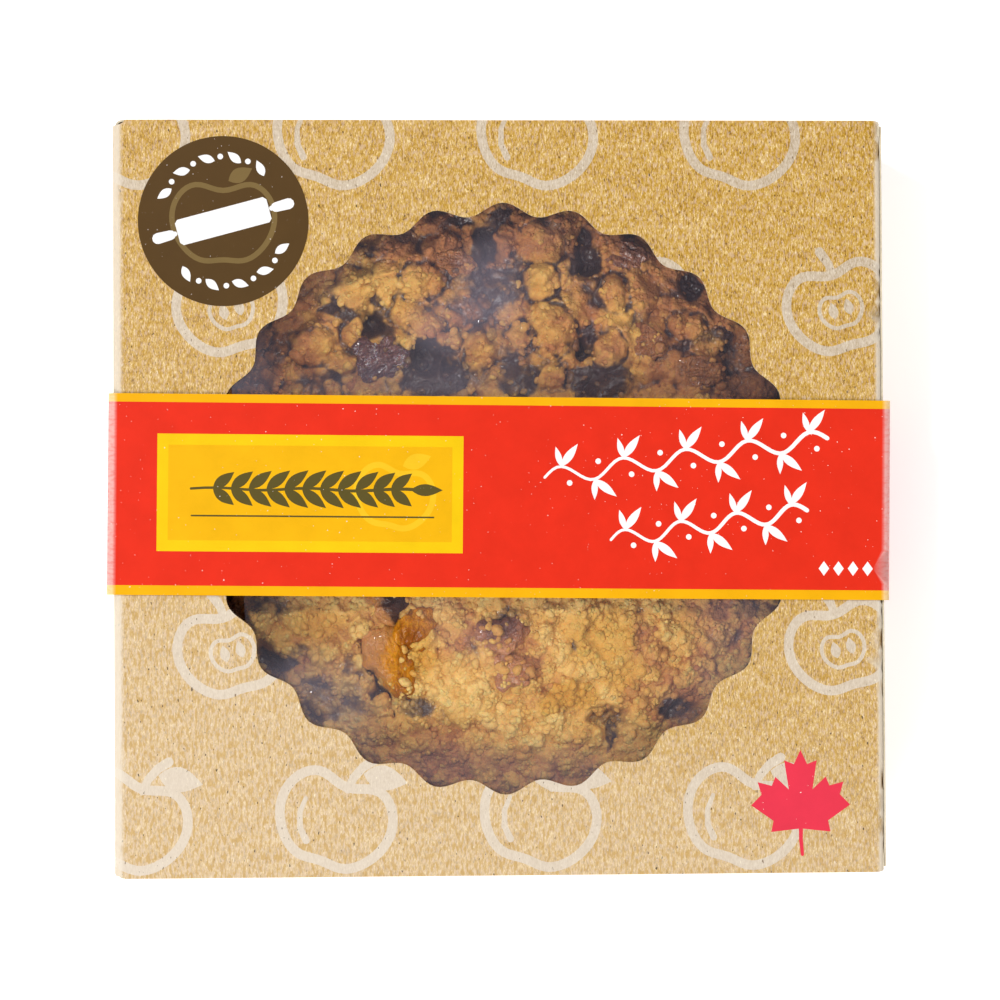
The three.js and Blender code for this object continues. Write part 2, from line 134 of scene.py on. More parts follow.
class Wiring:
    """Adds nodes to a tree and joins them, so that a finish reads as a recipe."""

    def __init__(self, tree: bpy.types.NodeTree) -> None:
        """Keeps the tree that nodes are added to."""
        self.tree = tree

    def add(self, kind: str, inputs: dict | None = None, **settings: object) -> bpy.types.Node:
        """Adds one node.

        Args:
            kind: The node's type.
            inputs: What goes into it, by the input's name or number.
            **settings: The node's own properties.

        Returns:
            The new node.
        """
        node = self.tree.nodes.new(kind)
        for key, setting in settings.items():
            setattr(node, key, setting)
        for key, given in (inputs or {}).items():
            if isinstance(given, Value):
                self.tree.links.new(given.socket, node.inputs[key])
            else:
                node.inputs[key].default_value = given
        return node

    def value(self, kind: str, inputs: dict | None = None, out: int | str = 0, **settings: object) -> Value:
        """Adds one node and gives one of its outputs."""
        return Value(self, self.add(kind, inputs, **settings).outputs[out])

    def math(self, operation: str, first: object, second: object) -> Value:
        """Works out one sum."""
        return self.value("ShaderNodeMath", {0: first, 1: second}, operation=operation)

    def mix(self, factor: Value, first: Value, second: Colour) -> Value:
        """Mixes some of a second colour into the first."""
        return self.value("ShaderNodeMix", {0: factor, 6: first, 7: rgba(second)}, 2, data_type="RGBA")

    def noise(
        self, place: Value, scale: float, layers: float = 3.0, rough: float = 0.55, bend: float = 0.0,
    ) -> Value:
        """Soft random values: how many in a millimetre, their finer layers, how rough and how bent."""
        inputs = {"Vector": place, "Scale": scale, "Detail": layers, "Roughness": rough, "Distortion": bend}
        return self.value("ShaderNodeTexNoise", inputs, "Fac")

    def rise(self, value: Value, low: float, high: float, top: float = 1.0) -> Value:
        """A smooth rise from 0 to a top as a value goes from low to high."""
        inputs = {"Value": value, "From Min": low, "From Max": high, "To Max": top}
        return self.value("ShaderNodeMapRange", inputs, interpolation_type="SMOOTHSTEP")

    def ramp(self, value: Value, *stops: tuple[float, Colour]) -> Value:
        """Turns a value into a colour.

        Args:
            value: The value.
            *stops: Places from 0 to 1, each with its colour.

        Returns:
            The colour.
        """
        node = self.add("ShaderNodeValToRGB", {0: value})
        elements = node.color_ramp.elements
        while len(elements) < len(stops):
            elements.new(0.5)
        for element, (position, colour) in zip(elements, stops, strict=True):
            element.position = position
            element.color = rgba(colour)
        return Value(self, node.outputs[0])

    def attribute(self, name: str, output: str = "Fac") -> Value:
        """A value that the mesh carries."""
        settings = {"attribute_name": name, "attribute_type": "GEOMETRY"}
        return self.value("ShaderNodeAttribute", None, output, **settings)

    def scaled(self, place: Value, *factors: float) -> Value:
        """Coordinates multiplied along each axis."""
        return self.value("ShaderNodeVectorMath", {0: place, 1: factors}, operation="MULTIPLY")

    def millimetres(self) -> Value:
        """The place on the piece, in millimetres."""
        return self.scaled(self.value("ShaderNodeTexCoord", None, "Object"), 1 / MM, 1 / MM, 1 / MM)

    def principled(self, inputs: dict) -> Value:
        """The surface shader."""
        return self.value("ShaderNodeBsdfPrincipled", inputs)

    def bump(self, height: Value, depth: float, strength: float = 1.0) -> Value:
        """The normal of a surface shaded as if it were raised by so many millimetres."""
        inputs = {"Height": height, "Distance": depth * MM, "Strength": strength}
        return self.value("ShaderNodeBump", inputs, "Normal")


@dataclass(frozen=True)
class Effect:
    """A shader group that finishes share: it takes a place and gives named values."""

    name: str
    outputs: tuple[str, ...]
    recipe: Callable[[Wiring, Value], Sequence[Value]]

    def tree(self) -> bpy.types.NodeTree:
        """Makes the group, or gives the one made before.

        Returns:
            The group.
        """
        if self.name in bpy.data.node_groups:
            return bpy.data.node_groups[self.name]
        tree = bpy.data.node_groups.new(self.name, "ShaderNodeTree")
        tree.interface.new_socket(name="Place", in_out="INPUT", socket_type="NodeSocketVector")
        for label in self.outputs:
            tree.interface.new_socket(name=label, in_out="OUTPUT", socket_type="NodeSocketFloat")
        wiring = Wiring(tree)
        results = self.recipe(wiring, wiring.value("NodeGroupInput"))
        wiring.add("NodeGroupOutput", dict(zip(self.outputs, results, strict=True)))
        return tree

    def used(self, wiring: Wiring, place: Value) -> dict[str, Value]:
        """The effect's values in a material, by name."""
        node = wiring.add("ShaderNodeGroup", {"Place": place}, node_tree=self.tree())
        return {label: Value(wiring, node.outputs[label]) for label in self.outputs}


def fibre_recipe(wiring: Wiring, place: Value) -> Sequence[Value]:
    """Speckled board with short fibres that lie along the sheet's length.

    Args:
        wiring: The group's wiring.
        place: Where it is asked for.

    Returns:
        Tone from dark to light, hue from ochre to beige, dark flecks, pale chips and relief.
    """
    along = wiring.scaled(place, 1.0, 0.3, 1.0)
    fine = wiring.noise(along, 2.7, 3.0, 0.75)
    cloud = wiring.noise(place, 0.12, 3.0, 0.6)
    blotch = wiring.noise(along, 0.9, 2.0, 0.6)
    hue = wiring.noise(wiring.scaled(place, 1.0, 0.36, 5.0), 1.55, 2.0, 0.6)
    fleck = wiring.rise(wiring.noise(wiring.scaled(place, 1.0, 0.5, 3.0), 1.25, 1.0, 0.4), 0.72, 0.76)
    chip = wiring.rise(wiring.noise(wiring.scaled(along, 1.0, 1.0, 9.0), 1.9, 1.0, 0.4), 0.7, 0.76)
    return fine * 0.62 + blotch * 0.26 + cloud * 0.12, hue, fleck, chip, fine


def scuff_recipe(wiring: Wiring, place: Value) -> Sequence[Value]:
    """Handling marks on coated paper.

    Args:
        wiring: The group's wiring.
        place: Where it is asked for.

    Returns:
        Tiny chips in the ink, a slow unevenness of the print and the paper's faint relief.
    """
    speck = wiring.rise(wiring.noise(place, 1.4, 1.0, 0.3), 0.775, 0.8)
    return speck, wiring.noise(place, 0.09, 4.0, 0.6), wiring.noise(place, 1.1, 4.0, 0.6)


def crumb_recipe(wiring: Wiring, place: Value) -> Sequence[Value]:
    """The grain of baked crumbs.

    Args:
        wiring: The group's wiring.
        place: Where it is asked for.

    Returns:
        A fine unevenness of colour, dark toasted spots and the relief of fused grains.
    """
    fine = wiring.noise(place, 1.5, 4.0, 0.65)
    coarse = wiring.noise(place, 0.35, 3.0, 0.6)
    cells = wiring.value("ShaderNodeTexVoronoi", {"Vector": place, "Scale": 1.3}, "Distance")
    char = wiring.rise(wiring.noise(place, 0.55, 3.0, 0.6), 0.62, 0.78)
    return fine * 0.55 + coarse * 0.45, char, (1.0 - cells) * 0.6 + fine * 0.4


FIBRES = Effect("fibre_board", ("Tone", "Hue", "Fleck", "Chip", "Height"), fibre_recipe)
SCUFFS = Effect("scuffed_paper", ("Speck", "Mottle", "Height"), scuff_recipe)
CRUMB_GRAIN = Effect("crumb_grain", ("Tone", "Char", "Height"), crumb_recipe)


# Finishes


@dataclass(frozen=True)
class Finish:
    """A named look. Each kind fills the material's tree in its own dress method."""

    name: str

    def material(self) -> bpy.types.Material:
        """Makes the material, or gives the one made before.

        Returns:
            The material.
        """
        if self.name in bpy.data.materials:
            return bpy.data.materials[self.name]
        material = bpy.data.materials.new(self.name)
        material.use_nodes = True
        material.node_tree.nodes.clear()
        wiring = Wiring(material.node_tree)
        wiring.add("ShaderNodeOutputMaterial", {"Surface": self.dress(wiring)})
        return material

    def dress(self, wiring: Wiring) -> Value:
        """Builds the shader and gives its output."""
        raise NotImplementedError


@dataclass(frozen=True)
class BoardFinish(Finish):
    """Uncoated speckled board, with a painted sheen that pales it towards the front and the left, so that
    the back of the lid stays yellower.
    """

    dark: Colour = srgb(128, 90, 30)
    ochre: Colour = srgb(190, 144, 38)
    tan: Colour = srgb(206, 166, 78)
    light: Colour = srgb(244, 220, 168)
    beige: Colour = srgb(212, 180, 151)
    # pale: the colour that the painted sheen mixes in
    pale: Colour = srgb(226, 206, 179)
    speck: Colour = srgb(60, 46, 36)
    chip: Colour = srgb(250, 240, 214)
    fold_wear_and_highlight: Colour = srgb(228, 216, 198)
    tint: float = 0.65
    # painted_sheen and front_painted_sheen: how strong the painted sheen is
    painted_sheen: float = 0.22
    front_painted_sheen: float = 0.26
    streaked: float = 0.5

    def dress(self, wiring: Wiring) -> Value:
        """Mixes the fibres' colours and gives them a slight relief.

        Args:
            wiring: The material's wiring.

        Returns:
            The shader.
        """
        sheet = wiring.attribute("sheet", "Vector")
        fibres = FIBRES.used(wiring, sheet)
        stops = (0.41, self.dark), (0.475, self.ochre), (0.525, self.tan), (0.6, self.light)
        colour = wiring.ramp(fibres["Tone"], *stops)
        colour = wiring.mix(wiring.rise(fibres["Hue"], 0.47, 0.62, self.tint), colour, self.beige)
        split = wiring.add("ShaderNodeSeparateXYZ", {0: sheet}).outputs
        forward, leftward = Value(wiring, split["Y"]) * -1.0, Value(wiring, split["X"]) * -1.0
        # Painted sheen: the colour is mixed towards pale at the front, the front left and the left, where
        # light glances off the board.
        front = wiring.rise(forward, -110.0, 125.0, self.painted_sheen)
        front = front + wiring.rise(forward + leftward * 0.35, 30.0, 85.0, self.front_painted_sheen)
        left = wiring.rise(leftward, -120.0, 130.0, self.painted_sheen * 0.45)
        colour = wiring.mix(front + left, colour, self.pale)
        streaks = wiring.noise(wiring.scaled(sheet, 1.0, 0.3, 1.0), 1.2, 2.0, 0.6)
        colour = wiring.mix(wiring.rise(streaks, 0.49, 0.58, self.streaked), colour, self.ochre)
        colour = wiring.mix(fibres["Chip"] * 0.55, colour, self.chip)
        colour = wiring.mix(fibres["Fleck"] * 0.85, colour, self.speck)
        # Folds are paled: partly worn board, partly a painted highlight where the rounded fold catches the
        # light.
        colour = wiring.mix(wiring.attribute("fold") * 0.8, colour, self.fold_wear_and_highlight)
        return wiring.principled({
            "Base Color": colour,
            "Roughness": 0.58 + fibres["Tone"] * 0.2,
            "Normal": wiring.bump(fibres["Height"], 0.06, 0.7),
            "Specular IOR Level": 0.2,
        })


@dataclass(frozen=True)
class PlainBoardFinish(Finish):
    """Bare board: the inside of the box and its cut edges."""

    colour: Colour
    roughness: float = 0.85

    def dress(self, wiring: Wiring) -> Value:
        """Varies one colour with the board's fibres.

        Args:
            wiring: The material's wiring.

        Returns:
            The shader.
        """
        fibres = FIBRES.used(wiring, wiring.millimetres())
        darker = tuple(part * 0.72 for part in self.colour)
        return wiring.principled({
            "Base Color": wiring.ramp(fibres["Tone"], (0.38, darker), (0.62, self.colour)),
            "Roughness": self.roughness,
            "Normal": wiring.bump(fibres["Height"], 0.06, 0.7),
        })


@dataclass(frozen=True)
class CoatedPaperFinish(Finish):
    """Smooth printed paper in one ink, paled at its folds by wear and by a painted highlight."""

    colour: Colour
    roughness: float = 0.32
    gloss: float = 0.15
    fold_wear_and_highlight: Colour = srgb(240, 206, 200)
    speck: Colour = srgb(250, 236, 228)
    fold_wear_and_highlight_amount: float = 0.7

    def dress(self, wiring: Wiring) -> Value:
        """Prints one colour, with specks, mottle and pale folds.

        Args:
            wiring: The material's wiring.

        Returns:
            The shader.
        """
        sheet = wiring.attribute("sheet", "Vector")
        marks = SCUFFS.used(wiring, sheet)
        deeper = tuple(part * 0.9 for part in self.colour)
        colour = wiring.ramp(marks["Mottle"], (0.3, deeper), (0.7, self.colour))
        colour = wiring.mix(marks["Speck"] * 0.8, colour, self.speck)
        # Folds are paled: partly cracked ink, partly a painted highlight where the rounded fold catches the
        # light.
        fold_wear_and_highlight_mask = wiring.attribute("fold") * self.fold_wear_and_highlight_amount
        patchy = wiring.rise(wiring.noise(wiring.scaled(sheet, 0.4, 1.0, 1.0), 1.2, 3.0), 0.3, 0.6)
        return wiring.principled({
            "Base Color": wiring.mix(fold_wear_and_highlight_mask * (0.65 + patchy * 0.35), colour, self.fold_wear_and_highlight),
            "Roughness": self.roughness + marks["Mottle"] * 0.12,
            "Normal": wiring.bump(marks["Height"], 0.02, 0.35),
            "Specular IOR Level": 0.1,
            "Coat Weight": self.gloss * 0.6,
            "Coat Roughness": 0.25,
        })


@dataclass(frozen=True)
class FilmFinish(Finish):
    """Clear film, slightly cloudy, with a soft waviness; in listed patches its pale veil is thicker, partly
    cloudiness and partly a painted reflection.
    """

    cloud: Colour = srgb(178, 172, 192)
    clear: Colour = (1.0, 1.0, 1.0)

    def dress(self, wiring: Wiring) -> Value:
        """Lets the light through and adds the film's gloss on its outer side, and its cloudiness.

        Args:
            wiring: The material's wiring.

        Returns:
            The shader.
        """
        place = wiring.millimetres()
        patches = wiring.noise(place, 0.03, 3.0, 0.55)
        # Listed patches thicken the pale veil: partly the film's cloudiness, partly a painted reflection of
        # the light.
        haze = 0.022 + wiring.rise(patches, 0.5, 0.75, 0.03) + wiring.attribute("smudge") * 0.2
        normal = wiring.bump(wiring.noise(place, 0.05, 2.0, 0.5), 0.6, 0.25)
        clear = wiring.value("ShaderNodeBsdfTransparent", {"Color": rgba(self.clear)})
        veil = wiring.value("ShaderNodeBsdfDiffuse", {"Color": rgba(self.cloud)})
        body = wiring.value("ShaderNodeMixShader", {0: haze, 1: clear, 2: veil})
        shine = {"Base Color": rgba(self.clear), "Metallic": 1.0, "Roughness": 0.07, "Normal": normal}
        grazing = wiring.value("ShaderNodeFresnel", {"IOR": 1.3, "Normal": normal})
        outside = 1.0 - wiring.value("ShaderNodeNewGeometry", None, "Backfacing")
        gloss = wiring.principled(shine)
        return wiring.value("ShaderNodeMixShader", {0: grazing * outside, 1: body, 2: gloss})


@dataclass(frozen=True)
class FoilFinish(Finish):
    """Bright pressed foil with fine rolling marks."""

    colour: Colour = (0.78, 0.78, 0.79)

    def dress(self, wiring: Wiring) -> Value:
        """Gives the metal its dents and rolling marks.

        Args:
            wiring: The material's wiring.

        Returns:
            The shader.
        """
        place = wiring.millimetres()
        dents = wiring.noise(place, 0.16, 4.0, 0.6)
        rolled = wiring.noise(wiring.scaled(place, 0.1, 4.0, 0.1), 1.0, 2.0)
        return wiring.principled({
            "Base Color": rgba(self.colour),
            "Metallic": 1.0,
            "Roughness": 0.2 + rolled * 0.2,
            "Normal": wiring.bump(dents + rolled * 0.15, 0.5, 0.5),
        })


@dataclass(frozen=True)
class CrumbFinish(Finish):
    """Baked crumbs. The mesh says how toasted and how buttery each place is, and where it is dark with
    syrup and with painted shade.
    """

    pale: Colour = srgb(242, 200, 122)
    golden: Colour = srgb(224, 172, 90)
    brown: Colour = srgb(184, 120, 72)
    dark: Colour = srgb(114, 72, 56)
    butter: Colour = srgb(214, 158, 56)
    syrup: Colour = srgb(52, 38, 48)

    def dress(self, wiring: Wiring) -> Value:
        """Runs from pale to dark with the toasting, and to glossy dark syrup where the mesh marks syrup and
        painted shade.

        Args:
            wiring: The material's wiring.

        Returns:
            The shader.
        """
        place = wiring.millimetres()
        grain = CRUMB_GRAIN.used(wiring, place)
        spread = (grain["Tone"] - 0.5) * 0.6
        level = wiring.attribute("toast") + spread + grain["Char"] * 0.16
        stops = (0.05, self.pale), (0.33, self.golden), (0.66, self.brown), (1.0, self.dark)
        buttery = wiring.rise(wiring.attribute("butter") + spread, 0.0, 0.8, 0.75)
        colour = wiring.mix(buttery, wiring.ramp(level, *stops), self.butter)
        # The syrup mask also carries painted shade in crevices and deep gaps, so the dark syrup colour
        # there stands for shade as well.
        soaked_and_shaded = wiring.attribute("soak") + spread
        wet = wiring.rise(soaked_and_shaded, 0.0, 1.0)
        ripples = wiring.noise(place, 0.9, 3.0, 0.5, 1.5) * 1.4
        return wiring.principled({
            "Base Color": wiring.mix(wet * 0.94, colour, self.syrup),
            "Roughness": 0.8 - wet * 0.4,
            "Normal": wiring.bump(grain["Height"] + wet * ripples, 0.4, 0.85),
            "Specular IOR Level": 0.3,
            "Coat Weight": wiring.rise(soaked_and_shaded, -0.05, 0.5, 0.85),
            "Coat Roughness": 0.08,
            "Subsurface Weight": 0.45,
            "Subsurface Radius": (1.0, 0.6, 0.35),
            "Subsurface Scale": 1.6 * MM,
        })


@dataclass(frozen=True)
class GlazedFinish(Finish):
    """Cooked apple under syrup. The mesh says where it deepens and where it is scorched."""

    flesh: Colour
    amber: Colour
    deep: Colour
    burnt: Colour = srgb(52, 22, 20)
    # glint_white and painted_glints: the white of the painted highlights, and how much of them there is.
    glint_white: Colour = srgb(236, 226, 232)
    gloss: float = 0.2
    coat: float = 0.4
    wrinkle: float = 0.55
    painted_glints: float = 0.0

    def dress(self, wiring: Wiring) -> Value:
        """Runs from flesh to dark glaze and to burnt edges, with a wet coat over fine wrinkles and, where
        set, painted white glints.

        Args:
            wiring: The material's wiring.

        Returns:
            The shader.
        """
        place = wiring.millimetres()
        fibres = wiring.noise(wiring.scaled(place, 1.4, 0.6, 1.0), 0.9, 4.0, 0.6)
        uneven = (fibres - 0.5) * 0.7
        glaze = wiring.attribute("glaze") + uneven
        colour = wiring.ramp(glaze, (0.15, self.flesh), (0.55, self.amber), (0.95, self.deep))
        scorched = wiring.rise(wiring.attribute("char") + uneven, 0.0, 0.6, 0.95)
        colour = wiring.mix(scorched, colour, self.burnt)
        strands = abs(wiring.noise(place, 0.5, 2.0, 0.5, 0.8) - 0.5)
        # Painted highlight: white squiggles in the colour stand in for glints on the glaze.
        if self.painted_glints:
            glint_swirls = abs(wiring.noise(place, 0.45, 2.0, 0.6, 1.6) - 0.5)
            patches = wiring.rise(wiring.noise(place, 0.22, 2.0), 0.46, 0.58, self.painted_glints)
            colour = wiring.mix(wiring.rise(glint_swirls, 0.035, 0.0) * patches, colour, self.glint_white)
        return wiring.principled({
            "Base Color": colour,
            "Roughness": 0.22 + fibres * 0.25,
            "Normal": wiring.bump(fibres - wiring.rise(strands, 0.0, 0.08, 0.5), 0.7 * self.wrinkle),
            "Specular IOR Level": self.gloss,
            "Coat Weight": self.coat,
            "Coat Roughness": 0.08,
            "Subsurface Weight": 0.35,
            "Subsurface Radius": (1.0, 0.4, 0.12),
            "Subsurface Scale": 2.2 * MM,
        })


KRAFT = BoardFinish("speckled_board")
# The cream ink, also paled by a painted sheen towards the front and the left.
CREAM = BoardFinish(
    "cream_ink", srgb(176, 154, 124), srgb(194, 174, 146), srgb(206, 189, 165), srgb(220, 206, 186),
    srgb(200, 182, 164), srgb(228, 214, 196), srgb(120, 98, 74),
    tint=0.5, painted_sheen=0.5, front_painted_sheen=0.0, streaked=0.0,
)
LINER = PlainBoardFinish("board_inside", srgb(150, 124, 92))
CUT_EDGE = PlainBoardFinish("board_cut_edge", srgb(232, 218, 190))
LEAF_RED = CoatedPaperFinish("leaf_red_ink", srgb(233, 56, 78), roughness=0.5, gloss=0.0)
RED = CoatedPaperFinish("sleeve_red_ink", srgb(231, 45, 20))
STRIPE = CoatedPaperFinish("sleeve_stripe_ink", srgb(246, 178, 0), fold_wear_and_highlight=srgb(250, 226, 180))
BORDER = CoatedPaperFinish("panel_border_ink", srgb(246, 200, 0))
FIELD = CoatedPaperFinish("panel_field_ink", srgb(243, 181, 0))
FAINT = CoatedPaperFinish("panel_faint_ink", srgb(247, 196, 30))
OLIVE = CoatedPaperFinish("panel_olive_ink", srgb(92, 80, 34))
WHITE = CoatedPaperFinish("white_ink", srgb(252, 250, 248))
PAPER = PlainBoardFinish("sleeve_inside", srgb(238, 234, 228), 0.7)
LABEL_BROWN = CoatedPaperFinish("label_brown_ink", srgb(86, 61, 26), roughness=0.38)
LABEL_OLIVE = CoatedPaperFinish("label_olive_ink", srgb(124, 101, 58), roughness=0.38)
FOIL = FoilFinish("pressed_foil")
PASTRY = CrumbFinish(
    "baked_pastry", srgb(230, 194, 128), srgb(208, 152, 80), srgb(160, 98, 46), srgb(120, 70, 36),
)
SYRUP = GlazedFinish("filling_syrup", srgb(110, 50, 30), srgb(80, 36, 22), srgb(52, 22, 16), coat=0.7)
CRUMB = CrumbFinish("baked_crumb")
FILM = FilmFinish("clear_film")


# Flat drawing


def edges(outline: Sequence[Point]) -> Iterable[tuple[Point, Point]]:
    """Both ends of each edge of a closed outline."""
    return zip(outline, (*outline[1:], outline[0]), strict=True)


def closed(points: Sequence[Point]) -> list[Point]:
    """An outline that runs anticlockwise."""
    doubled_area = sum(x0 * y1 - x1 * y0 for (x0, y0), (x1, y1) in edges(points))
    return list(points) if doubled_area > 0 else list(reversed(points))


def bearing(degrees: float) -> Point:
    """The point at a distance of 1 in a direction."""
    return math.cos(math.radians(degrees)), math.sin(math.radians(degrees))


def polar(radius: float, angle: float) -> Point:
    """The point at a distance in a direction, in radians."""
    return radius * math.cos(angle), radius * math.sin(angle)


def placed(points: Iterable[Point], x: float, y: float, turn: float = 0.0) -> list[Point]:
    """Turns an outline anticlockwise by degrees, and moves it."""
    cos, sin = bearing(turn)
    return [(x + px * cos - py * sin, y + px * sin + py * cos) for px, py in points]


def offset(points: Sequence[Point], distance: float) -> list[Point]:
    """Moves a smooth closed outline outwards.

    Args:
        points: The outline.
        distance: How far, or inwards if it is negative.

    Returns:
        The new outline.
    """
    outline = closed(points)
    moved = []
    previous = (outline[-1], *outline[:-1])
    for (x, y), (before, _), (_, after) in zip(outline, edges(previous), edges(outline), strict=True):
        along = Vector((after[0] - before[0], after[1] - before[1])).normalized()
        moved.append((x + along.y * distance, y - along.x * distance))
    return moved


def circle(radius: float, steps: int = 48) -> list[Point]:
    """A circle round the origin."""
    return [polar(radius, 2 * math.pi * i / steps) for i in range(steps)]


def inside(places: Array, outline: Sequence[Point]) -> Array:
    """Whether places lie inside a closed outline.

    Args:
        places: The places, one row each.
        outline: The outline.

    Returns:
        True or False for each place.
    """
    corners = np.array(outline)
    near = np.all((places > corners.min(axis=0)) & (places < corners.max(axis=0)), axis=1)
    x, y = places[near].T
    crossings = np.zeros(len(x), dtype=int)
    for (x0, y0), (x1, y1) in zip(corners, np.roll(corners, -1, axis=0), strict=True):
        if y0 != y1:
            crossings += ((y0 > y) != (y1 > y)) & (x < x0 + (y - y0) * (x1 - x0) / (y1 - y0))
    result = np.zeros(len(places), dtype=bool)
    result[near] = crossings % 2 == 1
    return result


def ribbon(points: Sequence[Point], width: float, tip: float | None = None) -> list[Point]:
    """The outline of a drawn line with round ends.

    Args:
        points: The middle of the line.
        width: Its width at the start.
        tip: Its width at the end, if that differs.

    Returns:
        The closed outline.
    """
    last = width if tip is None else tip
    vectors = [Vector(point) for point in points]
    left, right = [], []
    for i, here in enumerate(vectors):
        along = (vectors[min(i + 1, len(vectors) - 1)] - vectors[max(i - 1, 0)]).normalized()
        half = (width + (last - width) * i / (len(vectors) - 1)) / 2
        side = Vector((-along.y, along.x)) * half
        left.append(here + side)
        right.append(here - side)
    ends = []
    for here, start, half in ((vectors[-1], left[-1], last / 2), (vectors[0], right[0], width / 2)):
        first = math.atan2(start.y - here.y, start.x - here.x)
        ends.append([here + Vector(polar(1.0, first - math.pi * k / 5)) * half for k in range(1, 5)])
    outline = left + ends[0] + right[::-1] + ends[1]
    return closed([(point.x, point.y) for point in outline])


def leaf(length: float, width: float, steps: int = 9) -> list[Point]:
    """A pointed leaf that starts at the origin and points along +X.

    Args:
        length: Its length.
        width: Its width.
        steps: How many edges each side has.

    Returns:
        The outline.
    """
    parts = (i / steps for i in range(steps + 1))
    upper = [(length * part, width / 2 * math.sin(math.pi * part**0.85)) for part in parts]
    return closed(upper + [(x, -y) for x, y in upper[-2:0:-1]])


def apple(width: float, steps: int = 60) -> list[Point]:
    """An apple round the origin, with a dimple at the top and a small one below.

    Args:
        width: Its width.
        steps: How many edges it has.

    Returns:
        The outline.
    """
    outline = []
    for i in range(steps):
        angle = 2 * math.pi * i / steps
        away = math.pi - abs(math.pi - angle)
        across = math.sin(angle) * (1 + 0.09 * math.cos(angle))
        dimple = 0.3 * math.exp(-((away / 0.42) ** 2))
        foot = 0.14 * math.exp(-(((math.pi - away) / 0.4) ** 2))
        outline.append((across * width / 2, (0.9 * math.cos(angle) - dimple + foot) * width / 2))
    return closed(outline)


def maple_leaf(height: float) -> list[Point]:
    """A lobed, toothed leaf without its stalk, round the point where its veins meet.

    Args:
        height: The length of its middle lobe.

    Returns:
        The outline.
    """
    half = [(0.0, 1.0), (0.09, 0.81), (0.22, 0.86), (0.16, 0.47), (0.34, 0.64), (0.39, 0.52), (0.58, 0.57)]
    half += [(0.53, 0.4), (0.67, 0.26), (0.37, 0.05), (0.4, -0.1), (0.04, -0.06)]
    mirrored = [(-x, y) for x, y in half[:0:-1]]
    return closed([(x * height, y * height) for x, y in half + mirrored])


@dataclass
class Shape:
    """A closed outline filled with one ink."""

    outline: list[Point]
    ink: Finish


def inked(ink: Finish, *outlines: list[Point]) -> list[Shape]:
    """Outlines filled with one ink."""
    return [Shape(outline, ink) for outline in outlines]


def inked_line(outline: list[Point], half: float, ink: Finish, ground: Finish) -> list[Shape]:
    """An outline drawn as a line, so wide to either side of it, round a ground."""
    return [Shape(offset(outline, half), ink), Shape(offset(outline, -half), ground)]


# Meshes


def linked(name: str, data: bpy.types.ID) -> bpy.types.Object:
    """Puts a new object into the scene, at the origin.

    Args:
        name: Its name.
        data: Its mesh, light or camera.

    Returns:
        The object.
    """
    thing = bpy.data.objects.new(name, data)
    bpy.context.scene.collection.objects.link(thing)
    return thing


@dataclass
class Triangles:
    """Points, triangles and what each carries, gathered until they become one mesh."""

    points: list[Array] = field(default_factory=list)
    faces: list[Array] = field(default_factory=list)
    looks: list[Array] = field(default_factory=list)
    values: dict[str, list[Array]] = field(default_factory=dict)
    count: int = 0

    def add(self, points: Array, faces: Array, look: int | Array = 0, **values: Array) -> "Triangles":
        """Adds a patch.

        Args:
            points: Its points, in millimetres.
            faces: Its triangles, as numbers of its own points.
            look: The number of its finish, or one number for each triangle.
            **values: A value for each point, by the attribute's name.

        Returns:
            The same gathering.
        """
        faces = np.asarray(faces, dtype=np.int64).reshape(-1, 3)
        self.points.append(np.asarray(points, dtype=np.float64).reshape(-1, 3))
        self.faces.append(faces + self.count)
        self.looks.append(np.broadcast_to(np.asarray(look), (len(faces),)).astype(np.int32))
        for name, value in values.items():
            self.values.setdefault(name, []).append(np.asarray(value, dtype=np.float32))
        self.count += len(self.points[-1])
        return self

    def make(self, name: str, finishes: Sequence[Finish]) -> bpy.types.Object:
        """Makes the object, with smooth shading.

        Args:
            name: The object's name.
            finishes: The finishes that the triangles' numbers stand for.

        Returns:
            The object, at the origin.
        """
        points, faces = np.concatenate(self.points) * MM, np.concatenate(self.faces)
        mesh = bpy.data.meshes.new(name)
        mesh.from_pydata(points.tolist(), [], faces.tolist(), shade_flat=False)
        mesh.polygons.foreach_set("material_index", np.concatenate(self.looks))
        for label, parts in self.values.items():
            value = np.concatenate(parts)
            kind = "FLOAT_VECTOR" if value.ndim == 2 else "FLOAT"
            layer = mesh.attributes.new(label, kind, "POINT")
            layer.data.foreach_set("vector" if value.ndim == 2 else "value", value.ravel())
        mesh.validate()
        for finish in finishes:
            mesh.materials.append(finish.material())
        return linked(name, mesh)


def grid_faces(rows: int, columns: int, closed_columns: bool = False) -> Array:
    """Triangles over a grid of points stored row by row.

    Args:
        rows: How many rows of points there are.
        columns: How many points there are in a row.
        closed_columns: Whether each row runs back to its first point.

    Returns:
        The triangles.
    """
    across = columns if closed_columns else columns - 1
    row, column = np.meshgrid(np.arange(rows - 1), np.arange(across), indexing="ij")
    here = (row * columns + column).ravel()
    right = (row * columns + (column + 1) % columns).ravel()
    above, beyond = here + columns, right + columns
    return np.concatenate([np.stack([here, right, beyond], 1), np.stack([here, beyond, above], 1)])


def with_area(points: Array, faces: Array) -> Array:
    """The triangles that have an area."""
    first, second, third = (points[faces[:, corner]] for corner in range(3))
    return faces[np.linalg.norm(np.cross(second - first, third - first), axis=1) > 1e-9]


def rim_of(faces: Array) -> tuple[Array, Array]:
    """The edges with a triangle on one side only.

    Args:
        faces: The triangles.

    Returns:
        The number of each edge's first point, and of its last.
    """
    sides = np.concatenate([faces[:, [0, 1]], faces[:, [1, 2]], faces[:, [2, 0]]])
    known = {(a, b) for a, b in sides.tolist()}
    start, end = np.array([(a, b) for a, b in known if (b, a) not in known]).T
    order = np.lexsort((end, start))
    return start[order], end[order]


